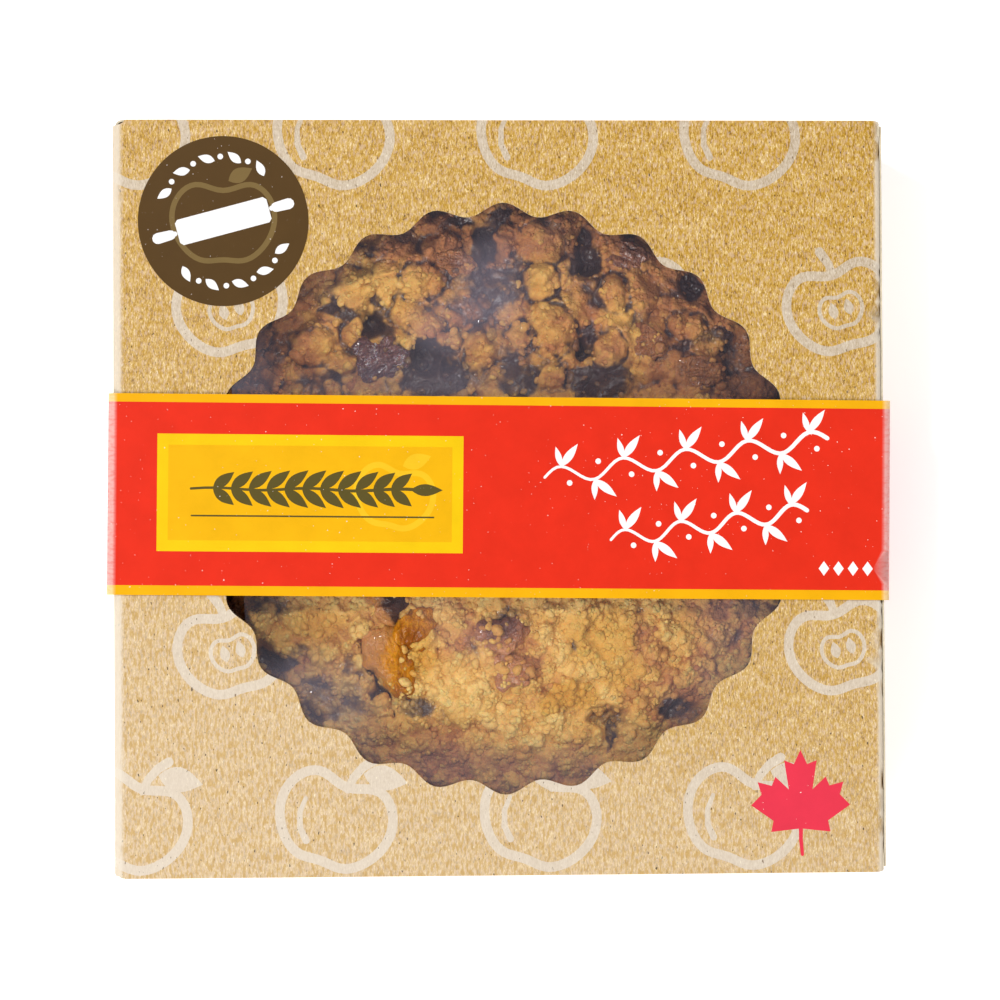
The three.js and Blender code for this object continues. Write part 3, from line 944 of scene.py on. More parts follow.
def keep_piece(piece: bpy.types.Object, slot: str, *nodes: str) -> bpy.types.Object:
    """Ties a piece to the frame and hides the solids that it replaces.

    Args:
        piece: The piece.
        slot: Not used.
        *nodes: The solids that it replaces, if any.

    Returns:
        The same piece.
    """
    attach(piece, BODY)
    if nodes:
        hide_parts(*nodes)
    LOG.info("%s: %d triangles", piece.name, len(piece.data.polygons))
    return piece


@dataclass(frozen=True)
class Run:
    """One stretch of a folded path: straight, or an arc if it turns."""

    length: float
    turn: float = 0.0


class FoldedPath:
    """The route of a folded sheet in a plane, measured along its outer face."""

    def __init__(self, start: Point, heading: float, runs: Sequence[Run], zero: float = 0.0) -> None:
        """Lays the runs end to end.

        Args:
            start: Where the path starts.
            heading: Its first direction, in degrees.
            runs: Its stretches. The outer face is on their left.
            zero: The distance along the path that counts as 0.
        """
        self.stations: list[tuple[float, Vector, float, Run]] = []
        here, angle, along = Vector(start), math.radians(heading), -zero
        for run in runs:
            self.stations.append((along, here.copy(), angle, run))
            here, angle = self.walk(here, angle, run, run.length)
            along += run.length
        self.end = along

    @staticmethod
    def walk(here: Vector, angle: float, run: Run, distance: float) -> tuple[Vector, float]:
        """Goes a distance along one run.

        Args:
            here: Where the run starts.
            angle: Its direction there, in radians.
            run: The run.
            distance: How far to go.

        Returns:
            The place and the direction reached.
        """
        if not run.turn:
            return here + Vector(polar(1.0, angle)) * distance, angle
        bend = math.radians(run.turn) * distance / run.length
        radius = run.length / math.radians(run.turn)
        middle = here + Vector((-math.sin(angle), math.cos(angle))) * radius
        turned = angle + bend
        return middle + Vector((math.sin(turned), -math.cos(turned))) * radius, turned

    def at(self, along: float) -> Facing:
        """The place on the path and the outward normal there.

        Args:
            along: The distance along the path.

        Returns:
            The place and the normal.
        """
        passed = [station for station in self.stations if station[0] <= along]
        first, here, angle, run = passed[-1] if passed else self.stations[0]
        place, heading = self.walk(here, angle, run, along - first)
        return place, Vector((-math.sin(heading), math.cos(heading)))

    def fold_lines(self) -> list[float]:
        """Where the folds need points, the first and the last just outside each.

        Returns:
            Distances along the path.
        """
        arcs = [(first, run.length) for first, _, _, run in self.stations if run.turn]
        inner = [first + length * k / 6 for first, length in arcs for k in range(7)]
        return inner + [first + step for first, length in arcs for step in (-0.6, length + 0.6)]

    def fold_amount(self, along: float) -> float:
        """How much of a fold there is at a place.

        Args:
            along: The distance along the path.

        Returns:
            1 in the middle of a fold, 0 outside.
        """
        for first, _, _, run in self.stations:
            if run.turn and abs(run.turn) > 45 and first - 0.5 < along < first + run.length + 0.5:
                half = run.length / 2 + 0.5
                return float(smoothstep(0.0, 0.55, 1 - abs(along - first - run.length / 2) / half))
        return 0.0


def fold(radius: float, turn: float = -90.0) -> Run:
    """A fold of a quarter turn."""
    return Run(radius * math.radians(abs(turn)), turn)


@dataclass
class PrintedSheet:
    """A thin sheet cut to an outline, printed with shapes and laid along a surface."""

    outline: list[Point]
    base: Finish
    inside: Finish
    edge: Finish
    place: Placer
    thickness: float
    spacing: float = 6.0
    holes: list[list[Point]] = field(default_factory=list)
    shapes: list[Shape] = field(default_factory=list)
    fold_at: Callable[[float], float] = lambda along: 0.0
    fold_lines: list[float] = field(default_factory=list)

    def divided(self, outline: Sequence[Point]) -> list[Point]:
        """Adds points to an outline's long edges, and where they cross a fold.

        Args:
            outline: The outline.

        Returns:
            The same outline with more points.
        """
        points = []
        for (x0, y0), (x1, y1) in edges(outline):
            steps = math.ceil(math.dist((x0, y0), (x1, y1)) / self.spacing)
            parts = {k / steps for k in range(steps)}
            crossed = (line for line in self.fold_lines if min(x0, x1) < line < max(x0, x1))
            parts |= {(line - x0) / (x1 - x0) for line in crossed}
            points += [(x0 + (x1 - x0) * part, y0 + (y1 - y0) * part) for part in sorted(parts)]
        return points

    def fill(self) -> tuple[Array, Array, list[Finish]]:
        """Cuts the sheet into triangles that follow every printed outline.

        Returns:
            The flat points, the triangles, and each triangle's ink.
        """
        drawn = (self.outline, *self.holes, *(shape.outline for shape in self.shapes))
        outlines = [self.divided(closed(outline)) for outline in drawn]
        points, borders = [], []
        for outline in outlines:
            first, count = len(points), len(outline)
            points += outline
            borders += [(first + i, first + (i + 1) % count) for i in range(count)]
        xs, ys = zip(*self.outline, strict=True)
        columns = set(np.arange(min(xs) + self.spacing / 2, max(xs), self.spacing)) | set(self.fold_lines)
        rows = np.arange(min(ys) + self.spacing / 2, max(ys), self.spacing)
        points += [(column, row) for column in sorted(columns) for row in rows]
        found = delaunay_2d_cdt([Vector(point) for point in points], borders, [], 0, MERGE)
        flat, cells = np.array([tuple(point) for point in found[0]]), np.array(found[2])
        middles = flat[cells].mean(axis=1)
        kept = inside(middles, outlines[0])
        for hole in outlines[1 : 1 + len(self.holes)]:
            kept &= ~inside(middles, hole)
        cells, middles = cells[kept], middles[kept]
        inks = np.zeros(len(cells), dtype=int)
        for number, outline in enumerate(outlines[1 + len(self.holes) :], 1):
            inks[inside(middles, outline)] = number
        used, cells = np.unique(cells, return_inverse=True)
        palette = [self.base, *(shape.ink for shape in self.shapes)]
        return flat[used], cells.reshape(-1, 3), [palette[ink] for ink in inks]

    def add_to(self, mesh: Triangles, finishes: list[Finish]) -> None:
        """Lays the sheet in place and adds both its faces and its cut edge.

        Args:
            mesh: The mesh to add to.
            finishes: The mesh's finishes; new ones are added.
        """
        flat, faces, inks = self.fill()
        for finish in (*inks, self.inside, self.edge):
            if finish not in finishes:
                finishes.append(finish)
        outer, inner, folds = [], [], []
        for u, v in flat:
            point, normal = self.place(float(u), float(v))
            outer.append(point)
            inner.append(point - normal * self.thickness)
            folds.append(self.fold_at(float(u)))
        outer, inner, folds = np.array(outer), np.array(inner), np.array(folds)
        sheet = np.column_stack([flat, np.zeros(len(flat))])
        none = np.zeros(len(flat))
        looks = np.array([finishes.index(ink) for ink in inks])
        mesh.add(outer, faces, looks, sheet=sheet, fold=folds)
        mesh.add(inner, faces[:, ::-1], finishes.index(self.inside), sheet=sheet, fold=none)
        start, end = rim_of(faces)
        count = len(start)
        corners = np.concatenate([outer[start], outer[end], inner[end], inner[start]])
        here = np.arange(count)[:, None]
        quads = np.concatenate([here + count * np.array(three) for three in ((1, 0, 3), (1, 3, 2))])
        rim_sheet = np.tile(sheet[start], (4, 1))
        mesh.add(corners, quads, finishes.index(self.edge), sheet=rim_sheet, fold=np.zeros(4 * count))


def print_piece(name: str, slot: str, node: str, *sheets: PrintedSheet) -> None:
    """Makes one piece of printed sheets.

    Args:
        name: The piece's name.
        slot: A name passed on to keep_piece.
        node: The solid that it replaces.
        *sheets: Its sheets.
    """
    mesh, finishes = Triangles(), []
    for sheet in sheets:
        sheet.add_to(mesh, finishes)
    keep_piece(mesh.make(name, finishes), slot, node)


# The box


@dataclass(frozen=True)
class Box:
    """The lowest and highest corner of a solid, in millimetres."""

    low: Vector
    high: Vector

    @classmethod
    def of(cls, node: str) -> "Box":
        """The box of a solid of the frame."""
        low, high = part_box(node)
        return cls(low / MM, high / MM)


@dataclass(frozen=True)
class Patch:
    """A soft oval patch where something is stronger, or weaker if its amount is negative."""

    x: float
    y: float
    across: float
    along: float
    amount: float

    @staticmethod
    def each(*rows: tuple[float, float, float, float, float]) -> tuple["Patch", ...]:
        """A patch from each row of numbers."""
        return tuple(Patch(*row) for row in rows)

    def at(self, x: Array, y: Array) -> Array:
        """The patch's strength at places on the pie."""
        away = np.sqrt(((x - self.x) / self.across) ** 2 + ((y - self.y) / self.along) ** 2)
        return self.amount * (1 - smoothstep(0.3, 1.0, away))


@dataclass
class LidShape:
    """The slight sag of the lid and of the film below it."""

    half_width: float
    half_depth: float
    sag: float = 0.45
    ripple: float = 0.12

    def drop(self, x: float, y: float) -> float:
        """How far the lid hangs below its flat place.

        Args:
            x: The place across the lid.
            y: The place along it.

        Returns:
            The drop, never negative.
        """
        across = max(0.0, 1 - (x / self.half_width) ** 2)
        along = max(0.0, 1 - (y / self.half_depth) ** 2)
        waves = noise.noise(Vector((x, y, 3.0)) * 0.016)
        return max(0.0, self.sag * across**0.5 * along**0.5 + self.ripple * waves * across**0.25)


@dataclass
class Window:
    """The scalloped opening in the lid."""

    x: float = 1.05
    y: float = -0.3
    radius: float = 86.7
    wave: float = 1.9
    scallops: int = 26
    steps: int = 14

    def outline(self) -> list[Point]:
        """The opening's edge: a circle whose radius rises and falls as a wave.

        Returns:
            The outline.
        """
        points, count = [], self.scallops * self.steps
        for angle in (2 * math.pi * i / count for i in range(count)):
            crest = math.cos(self.scallops * (angle - math.pi / 2))
            points.append(polar(self.radius + self.wave * crest, angle))
        return placed(points, self.x, self.y)


@dataclass
class FruitPrint:
    """The all-over print of the board: drawn apples and sprigs in cream."""

    stroke: float = 2.9
    apple_width: float = 34.0
    column: float = 61.0
    row: float = 51.0

    def whole(self) -> list[Shape]:
        """An outlined apple with a stalk, a filled leaf and a glint, from the lowest shape up.

        Returns:
            The shapes, round the origin.
        """
        stalk = [(0.6, 9.6), (1.0, 13.5), (2.6, 17.4), (5.0, 20.4)]
        blade = placed(leaf(13.5, 7.5), 3.4, 15.6, 8)
        glint = [(-10.4, 3.0), (-10.6, -1.4), (-9.0, -5.8), (-6.0, -8.8)]
        parts = inked_line(apple(self.apple_width), self.stroke / 2, CREAM, KRAFT)
        drawn = ribbon(stalk, self.stroke * 0.8, self.stroke), blade, ribbon(glint, 1.3, 2.1)
        return parts + inked(CREAM, *drawn)

    def halved(self) -> list[Shape]:
        """A halved apple with its core, two pips and a stalk, from the lowest shape up.

        Returns:
            The shapes, round the origin.
        """
        parts = inked_line(apple(self.apple_width * 0.94), self.stroke / 2, CREAM, KRAFT)
        parts += inked_line(placed(apple(13.0), 0, -1.2), 0.6, CREAM, KRAFT)
        pips = [placed(leaf(5.2, 3.0), side * 2.4, -3.4, 90) for side in (-1, 1)]
        stalk = [(0.4, 9.4), (0.2, 13.0), (-1.4, 17.4)]
        return parts + inked(CREAM, *pips, ribbon(stalk, self.stroke * 0.8, self.stroke))

    def over(self, left: float, right: float, low: float, high: float) -> list[Shape]:
        """Covers a stretch of board with the print.

        Args:
            left: The stretch's lowest place across.
            right: Its highest place across.
            low: Its lowest place along.
            high: Its highest place along.

        Returns:
            The shapes.
        """
        shapes = []
        for i in range(math.floor(left / self.column) - 1, math.ceil(right / self.column) + 2):
            for j in range(math.floor(low / self.row) - 1, math.ceil(high / self.row) + 2):
                middle = (i + 0.5 * (j % 2) + 0.18) * self.column, (j + 0.12) * self.row
                for part in self.halved() if j % 2 else self.whole():
                    outline = placed(part.outline, *middle, 16 if j % 2 else -20)
                    if any(left < x < right and low < y < high for x, y in outline):
                        shapes.append(Shape(outline, part.ink))
        return shapes


@dataclass
class MapleMark:
    """The red leaf printed near the lid's front right corner."""

    x: float = 89.6
    y: float = -98.5
    height: float = 22.3
    stalk: float = 9.0

    def shapes(self) -> list[Shape]:
        """The leaf and its stalk.

        Returns:
            The shapes.
        """
        blade = placed(maple_leaf(self.height), self.x, self.y)
        stem = [(self.x, self.y), (self.x, self.y - self.stalk * 0.5), (self.x + 0.4, self.y - self.stalk)]
        return inked(LEAF_RED, blade, ribbon(stem, 1.3, 1.0))


@dataclass
class Carton:
    """The folded board box: one sheet round it, and a wall at the front and the back."""

    board: float = 0.6
    left_fold: float = 2.6
    right_fold: float = 1.6
    base_fold: float = 0.9
    corner: float = 2.2
    wall_inset: float = 1.6
    base_inset: float = 0.8
    tuck: float = 22.0
    glue_flap: float = 14.0
    slip: float = 0.12
    bow: float = 0.35
    spacing: float = 7.0
    reliefs: tuple[float, float, float, float] = (0.9, 1.5, 1.6, 1.8)
    window: Window = field(default_factory=Window)
    fruit: FruitPrint = field(default_factory=FruitPrint)
    maple: MapleMark = field(default_factory=MapleMark)

    def __post_init__(self) -> None:
        """Takes the box's place from the frame."""
        box = Box.of("carton")
        self.half_width = (box.high.x - box.low.x) / 2
        self.half_depth = (box.high.y - box.low.y) / 2
        self.base_z, self.top_z = box.low.z, box.high.z
        self.lid = LidShape(self.half_width, self.half_depth)

    def wrap_path(self) -> FoldedPath:
        """The route of the sheet: right wall, base, left wall, lid and the flap tucked in.

        Returns:
            The path in X and Z. On the flat of the lid its distance is X.
        """
        height = self.top_z - self.base_z
        right_top = height - self.right_fold
        lid_right = self.half_width - self.board - self.slip
        base, lid = 2 * (self.half_width - self.base_fold), self.half_width - self.left_fold + lid_right
        runs = [Run(right_top - self.base_fold), fold(self.base_fold), Run(base), fold(self.base_fold)]
        runs += [Run(height - self.base_fold - self.left_fold), fold(self.left_fold)]
        runs += [Run(lid - self.right_fold), fold(self.right_fold), Run(self.tuck)]
        before_lid = sum(run.length for run in runs[:6])
        zero = before_lid + self.half_width - self.left_fold
        start = (self.half_width, self.base_z + right_top)
        return FoldedPath(start, -90, runs, zero)

    def wrap_outline(self, path: FoldedPath) -> list[Point]:
        """The sheet's cut outline, drawn in at the folds so that the lid has soft corners.

        Args:
            path: The sheet's route.

        Returns:
            The outline.
        """
        wall, base = self.half_depth - self.wall_inset, self.half_depth - self.base_inset
        starts = [station[0] for station in path.stations]
        left_fold, lid, right_fold, tuck = starts[5], starts[6], starts[7], starts[8]
        front_left, front_right, back_right, back_left = self.reliefs

        def edge(left: float, right: float) -> list[Point]:
            """One long edge, from the right wall's top to the tucked flap's end.

            Args:
                left: How far the lid's left corner is drawn in.
                right: How far its right corner is.

            Returns:
                Places along the sheet, each with the half depth there.
            """
            lid_half = self.half_depth
            points = [(starts[0], wall), (starts[1], wall), (starts[2], base), (starts[3], base)]
            points += [(starts[4], wall), (left_fold - 3.0, wall)]
            points += [(left_fold + 0.4, min(wall, lid_half - left))]
            for i in range(6):
                angle = math.pi / 2 * (i + 1) / 6
                reach = left_fold + 0.4 + (lid + left * 0.6 - left_fold - 0.4) * math.sin(angle)
                points.append((reach, lid_half - left * math.cos(angle)))
            for i in range(7):
                angle = math.pi / 2 * i / 6
                reach = right_fold - right * 0.6 + (tuck - right_fold + right * 0.6) * math.sin(angle)
                points.append((reach, lid_half - right * (1 - math.cos(angle))))
            points += [(tuck + 1.5, wall - 3.0), (path.end - 6.0, wall - 6.0), (path.end, wall - 13.0)]
            return points

        front = [(u, -half) for u, half in edge(front_left, front_right)]
        back = [(u, half) for u, half in edge(back_left, back_right)]
        return front + back[::-1]

    def sheet(
        self, outline: list[Point], place: Placer, path: FoldedPath, shapes: list[Shape],
        holes: list[list[Point]],
    ) -> PrintedSheet:
        """A sheet of the carton's board.

        Args:
            outline: Its cut outline.
            place: Where each of its points lies.
            path: The route that it is folded along.
            shapes: Its print.
            holes: The outlines cut out of it.

        Returns:
            The sheet.
        """
        return PrintedSheet(
            outline, KRAFT, LINER, CUT_EDGE, place, self.board, self.spacing, holes, shapes,
            path.fold_amount, path.fold_lines(),
        )

    def wrap_sheet(self) -> PrintedSheet:
        """The sheet that makes the base, both side walls and the lid.

        Returns:
            The sheet.
        """
        path = self.wrap_path()

        def place(along: float, y: float) -> Facing:
            """Where one of the sheet's points lies.

            Args:
                along: Its distance along the sheet's route.
                y: Its place from the front to the back.

            Returns:
                The place and the outward normal.
            """
            spot, normal = path.at(along)
            drop = self.lid.drop(along, y) if abs(along) < self.half_width - 3 else 0.0
            return Vector((spot.x, y, spot.y - drop)), Vector((normal.x, 0.0, normal.y))

        outline = self.wrap_outline(path)
        shapes = self.fruit.over(path.stations[0][0], path.end, -self.half_depth, self.half_depth)
        shapes += self.maple.shapes()
        return self.sheet(outline, place, path, shapes, [self.window.outline()])

    def end_wall(self, side: int) -> PrintedSheet:
        """The front or the back wall, with the glued flaps that turn in behind the side walls.

        Args:
            side: -1 for the front wall, 1 for the back one.

        Returns:
            The wall.
        """
        inner_x = self.half_width - self.board - self.slip
        flap, corner = Run(self.glue_flap), fold(self.corner, 90.0)
        runs = [flap, corner, Run(2 * (inner_x - self.corner)), corner, flap]
        start = (-inner_x, -self.half_depth + self.corner + self.glue_flap)
        path = FoldedPath(start, -90, runs, sum(run.length for run in runs) / 2)
        height = self.top_z - self.base_z - self.board - 0.1

        def place(along: float, up: float) -> Facing:
            """Where one of the wall's points lies.

            Args:
                along: Its distance along the wall.
                up: Its height on it.

            Returns:
                The place and the outward normal.
            """
            spot, normal = path.at(along)
            normal = -normal
            angle = math.pi / 2 * max(0.0, 1 - up / self.base_fold)
            inwards = self.base_fold * (1 - math.cos(angle))
            rise = up if angle == 0 else self.base_fold * (1 - math.sin(angle))
            flat = max(0.0, 1 - (along / self.half_width) ** 2)
            bow = self.bow * flat * math.sin(math.pi * up / height)
            point = Vector((spot.x, spot.y, self.base_z + rise)) - Vector((*normal, 0.0)) * (inwards + bow)
            facing = Vector((normal.x * math.cos(angle), normal.y * math.cos(angle), -math.sin(angle)))
            if side > 0:
                point.x, point.y = -point.x, -point.y
                facing.x, facing.y = -facing.x, -facing.y
            return point, facing

        end = -path.stations[0][0]
        outline = [(-end, 2.0), (-end, height - 4.0), (-end + self.glue_flap - 2.0, height), (0.0, height)]
        outline += [(end - self.glue_flap + 2.0, height), (end, height - 4.0), (end, 2.0)]
        outline += [(end - self.glue_flap, 0.0), (-end + self.glue_flap, 0.0)]
        return self.sheet(outline, place, path, self.fruit.over(-end, end, 0.0, height), [])

    def build(self) -> None:
        """Makes the carton as one piece."""
        sheets = self.wrap_sheet(), self.end_wall(-1), self.end_wall(1)
        print_piece("folded_carton", "board", "carton", *sheets)


@dataclass
class WindowFilm:
    """The clear sheet glued below the window, slightly askew."""

    lid: LidShape
    width: float = 176.0
    length: float = 192.0
    x: float = 9.6
    turn: float = 3.15
    thickness: float = 0.1
    board: float = 0.6
    glue: float = 0.06
    step: float = 4.0
    # Patches where the film's veil is thicker: partly cloudiness, partly a painted reflection of the light;
    # a negative one thins it.
    haze_and_reflection_patches: tuple[Patch, ...] = Patch.each(
        (-3, 64, 14, 18, 0.4), (-16, 52, 16, 12, 0.35), (3, 50, 9, 16, 0.22), (-56, -62, 32, 22, 0.26),
        (-10, -86, 60, 20, 0.2), (-78, 26, 16, 34, 0.3), (72, -44, 20, 30, 0.2), (-26, 32, 50, 13, 0.22),
        (-30, -46, 12, 22, -0.12),
    )

    def build(self) -> None:
        """Makes the film as a thin sheet of two faces that follows the lid."""
        sides = self.length, self.width
        steps = [np.linspace(-side / 2, side / 2, round(side / self.step) + 1) for side in sides]
        along, across = np.meshgrid(*steps, indexing="ij")
        cos, sin = bearing(self.turn)
        x = (self.x + across * cos - along * sin).ravel()
        y = (across * sin + along * cos).ravel()
        top = Box.of("carton").high.z - self.board - self.glue
        z = np.array([top - self.lid.drop(px, py) for px, py in zip(x, y, strict=True)])
        smudge = sum(patch.at(x, y) for patch in self.haze_and_reflection_patches)
        faces = grid_faces(*across.shape)
        upper = np.column_stack([x, y, z])
        mesh = Triangles().add(upper, faces, smudge=smudge)
        mesh.add(upper - np.array([0, 0, self.thickness]), faces[:, ::-1], smudge=smudge)
        keep_piece(mesh.make("clear_window_film", [FILM]), "film", "window_film")


@dataclass
class SleeveArt:
    """What is printed on the sleeve: edge stripes, a yellow panel, drawn sprigs and small dots."""

    half_depth: float
    stripe_top: float = 2.5
    stripe_bottom: float = 2.9
    panel: tuple[float, float, float, float] = (-57.0, 0.6, 45.6, 17.5)
    panel_border: float = 3.3
    sprigs: tuple[tuple[Point, Point, float, float], ...] = (
        ((13.0, 6.0), (98.0, 18.5), 4.5, 2.6),
        ((33.0, -12.5), (92.0, -3.2), 3.5, 2.4),
    )
    dot_start: Point = (97.2, -20.6)
    dot_step: float = 4.4

    def stripes(self, start: float, end: float) -> list[Shape]:
        """The yellow stripes along both edges.

        Args:
            start: Where the sleeve's paper starts.
            end: Where it ends.

        Returns:
            The shapes.
        """
        high, low = self.half_depth, -self.half_depth
        bands = ((high - self.stripe_top, high + 1), (low - 1, low + self.stripe_bottom))
        left, right = start - 1, end + 1
        outlines = ([(left, near), (right, near), (right, far), (left, far)] for near, far in bands)
        return inked(STRIPE, *outlines)

    def panel_shapes(self) -> list[Shape]:
        """The framed panel with an ear of grain over a thin rule, and a faint apple beside it.

        Returns:
            The shapes, from the lowest up.
        """
        x, y, half_width, half_height = self.panel
        shapes = []
        for inset, ink in ((0.0, BORDER), (self.panel_border, FIELD)):
            width, height = half_width - inset, half_height - inset
            corners = [(-width, -height), (width, -height), (width, height), (-width, height)]
            shapes.append(Shape(placed(corners, x, y), ink))
        for distance, ink in ((0.9, FAINT), (-0.9, FIELD)):
            shapes.append(Shape(placed(offset(apple(23.0), distance), x + 25.0, y - 0.6, -12), ink))
        shapes += inked(FAINT, placed(leaf(9.0, 4.6), x + 27.5, y + 8.4, 20))
        stem = [(x - 35.5 + 4.0 * i, y + 1.2 + 0.35 * math.sin(i * 0.9)) for i in range(18)]
        grains = [
            placed(leaf(8.0 + 1.2 * math.sin(math.pi * i / 10), 3.3), x - 29.0 + 5.3 * i, y + 1.3, tilt)
            for i in range(11) for tilt in (38, -38)
        ]
        rule = [(x - 35.5, y - 6.6), (x + 37.0, y - 6.6), (x + 37.0, y - 7.1), (x - 35.5, y - 7.1)]
        tip = placed(leaf(9.5, 3.6), x + 30.0, y + 1.3, 0)
        return shapes + inked(OLIVE, ribbon(stem, 0.75, 1.0), *grains, tip, rule)

    @staticmethod
    def sprig(start: Point, end: Point, waves: float, height: float) -> list[Shape]:
        """A wavy stalk with a leaf at each crest and a berry in each bay.

        Args:
            start: Where the stalk starts.
            end: Where it ends.
            waves: How many waves it has.
            height: How far each wave reaches.

        Returns:
            The shapes.
        """
        steps = 64
        run = Vector(end) - Vector(start)
        along, up = run.normalized(), Vector((-run.normalized().y, run.normalized().x))
        slope = math.degrees(math.atan2(along.y, along.x))
        stalk = []
        for i in range(steps + 1):
            part = i / steps
            lift = height * math.sin(2 * math.pi * waves * part)
            spot = Vector(start) + run * part + up * lift
            stalk.append((spot.x, spot.y))
        outlines = [ribbon(stalk, 0.8, 1.3)]
        for k in range(int(2 * waves)):
            side = 1 if k % 2 == 0 else -1
            root = stalk[min(steps, round(steps * (k + 0.5) / (2 * waves)))]
            for length, width, tilt in ((8.4, 2.5, 46), (6.2, 1.9, 98)):
                outlines.append(placed(leaf(length, width), *root, slope + side * tilt))
            berry = Vector(root) - up * side * (height + 2.6) + along * 1.8
            outlines.append(placed(circle(0.85, 16), *berry))
        return inked(WHITE, *outlines)

    def dots(self) -> list[Shape]:
        """A short row of small lozenges."""
        lozenge = [(0.0, -2.2), (1.6, 0.0), (0.0, 2.2), (-1.6, 0.0)]
        x, y = self.dot_start
        return inked(WHITE, *(placed(lozenge, x + self.dot_step * i, y) for i in range(4)))

    def shapes(self, start: float, end: float) -> list[Shape]:
        """Everything on the sleeve.

        Args:
            start: Where the sleeve's paper starts.
            end: Where it ends.

        Returns:
            The shapes, from the lowest up.
        """
        drawn = self.stripes(start, end) + self.panel_shapes()
        for sprig in self.sprigs:
            drawn += self.sprig(*sprig)
        return drawn + self.dots()


@dataclass
class Sleeve:
    """The paper loop round the box, glued where its ends overlap underneath."""

    width: float = 234.6
    depth: float = 60.0
    paper: float = 0.3
    fold_radius: float = 2.2
    overlap: float = 14.0
    turn: float = -0.7
    spacing: float = 10.0

    def path(self) -> FoldedPath:
        """The route: from the middle of the underside over the left, the top and the right, and back.

        Returns:
            The path in X and Z. On the top its distance is X.
        """
        side, corner = Run(Box.of("sleeve").high.z - 2 * self.fold_radius), fold(self.fold_radius)
        under = self.width / 2 - self.fold_radius
        runs = [Run(under), corner, side, corner, Run(2 * under)]
        runs += [corner, side, corner, Run(under + self.overlap)]
        return FoldedPath((0.0, 0.0), 180, runs, sum(run.length for run in runs[:4]) + under)

    def build(self) -> None:
        """Makes the sleeve with its print."""
        path = self.path()
        half = self.depth / 2
        cos, sin = bearing(self.turn)
        start, end = path.stations[0][0], path.end
        glued = end - self.overlap

        def place(along: float, y: float) -> Facing:
            """Where one of the sleeve's points lies.

            Args:
                along: Its distance along the route.
                y: Its place from the front to the back.

            Returns:
                The place and the outward normal.
            """
            spot, normal = path.at(along)
            lift = (self.paper + 0.03) * float(smoothstep(glued - 5.0, glued - 1.0, along))
            point = Vector((spot.x, y, spot.y + lift))
            facing = Vector((normal.x, 0.0, normal.y))
            turned = Vector((point.x * cos - point.y * sin, point.x * sin + point.y * cos, point.z))
            return turned, Vector((facing.x * cos, facing.x * sin, facing.z))

        outline = [(start, -half), (end, -half), (end, half), (start, half)]
        art = SleeveArt(half).shapes(start, end)
        step_lines = [glued - 5.0, glued - 3.0, glued - 1.0]
        sheet = PrintedSheet(
            outline, RED, PAPER, PAPER, place, self.paper, self.spacing, [], art, path.fold_amount,
            path.fold_lines() + step_lines,
        )
        print_piece("printed_sleeve", "sleeve_paper", "sleeve", sheet)


@dataclass
class RoundLabel:
    """The brown label: a rolling pin between two arcs of leaves, over a faint apple."""

    lid: LidShape
    thickness: float = 0.12
    tilt: float = 15.0
    spacing: float = 3.0
    leaf_ring: float = 0.76
    leaf_step: float = 12.5

    def shapes(self, radius: float) -> list[Shape]:
        """What is printed on the label, round its middle.

        Args:
            radius: The label's radius.

        Returns:
            The shapes, from the lowest up.
        """
        shapes = inked_line(apple(radius * 1.2), 0.8, LABEL_OLIVE, LABEL_BROWN)
        shapes += inked(LABEL_OLIVE, placed(leaf(8.0, 4.4), 1.6, 12.0, 28))
        barrel, end = 13.2, 3.9
        roller = [(-barrel, -end), (barrel, -end), (barrel + 0.9, -end + 0.9), (barrel + 0.9, end - 0.9)]
        roller += [(barrel, end), (-barrel, end), (-barrel - 0.9, end - 0.9), (-barrel - 0.9, -end + 0.9)]
        pin = [roller]
        for side in (-1, 1):
            pin.append(ribbon([(side * (barrel + 1.7), 0.0), (side * (barrel + 3.2), 0.0)], 1.5))
            pin.append(ribbon([(side * (barrel + 3.0), 0.0), (side * (barrel + 7.0), 0.0)], 2.9, 3.3))
        drawn = [placed(outline, 0, 0, self.tilt) for outline in pin]
        for middle in (105.0, 285.0):
            for i in range(9):
                angle = middle + (i - 4) * self.leaf_step
                blade = placed(placed(leaf(5.2, 2.5), -2.6, 0.0), 0, 0, angle + 60)
                mark = circle(0.85, 14) if i % 2 else blade
                drawn.append(placed(mark, *placed([(radius * self.leaf_ring, 0.0)], 0, 0, angle)[0]))
        return shapes + inked(WHITE, *drawn)

    def build(self) -> None:
        """Makes the label, laid on the lid."""
        box = Box.of("round_label")
        middle = (box.low + box.high) / 2
        radius = (box.high.x - box.low.x) / 2
        lid_top = Box.of("carton").high.z

        def place(u: float, v: float) -> Facing:
            """Where one of the label's points lies.

            Args:
                u: Its place across, from the middle.
                v: Its place along.

            Returns:
                The place and the outward normal.
            """
            x, y = middle.x + u, middle.y + v
            edge = max(0.0, math.hypot(u, v) - radius + 4.0)
            lift = self.thickness + 0.03 + 0.006 * edge * edge * max(0.0, math.cos(math.atan2(v, u) + 2.2))
            return Vector((x, y, lid_top - self.lid.drop(x, y) + lift)), Vector((0.0, 0.0, 1.0))

        sheet = PrintedSheet(
            circle(radius, 128), LABEL_BROWN, PAPER, PAPER, place, self.thickness, self.spacing,
            [], self.shapes(radius),
        )
        print_piece("printed_round_label", "label_paper", "round_label", sheet)


# The pie


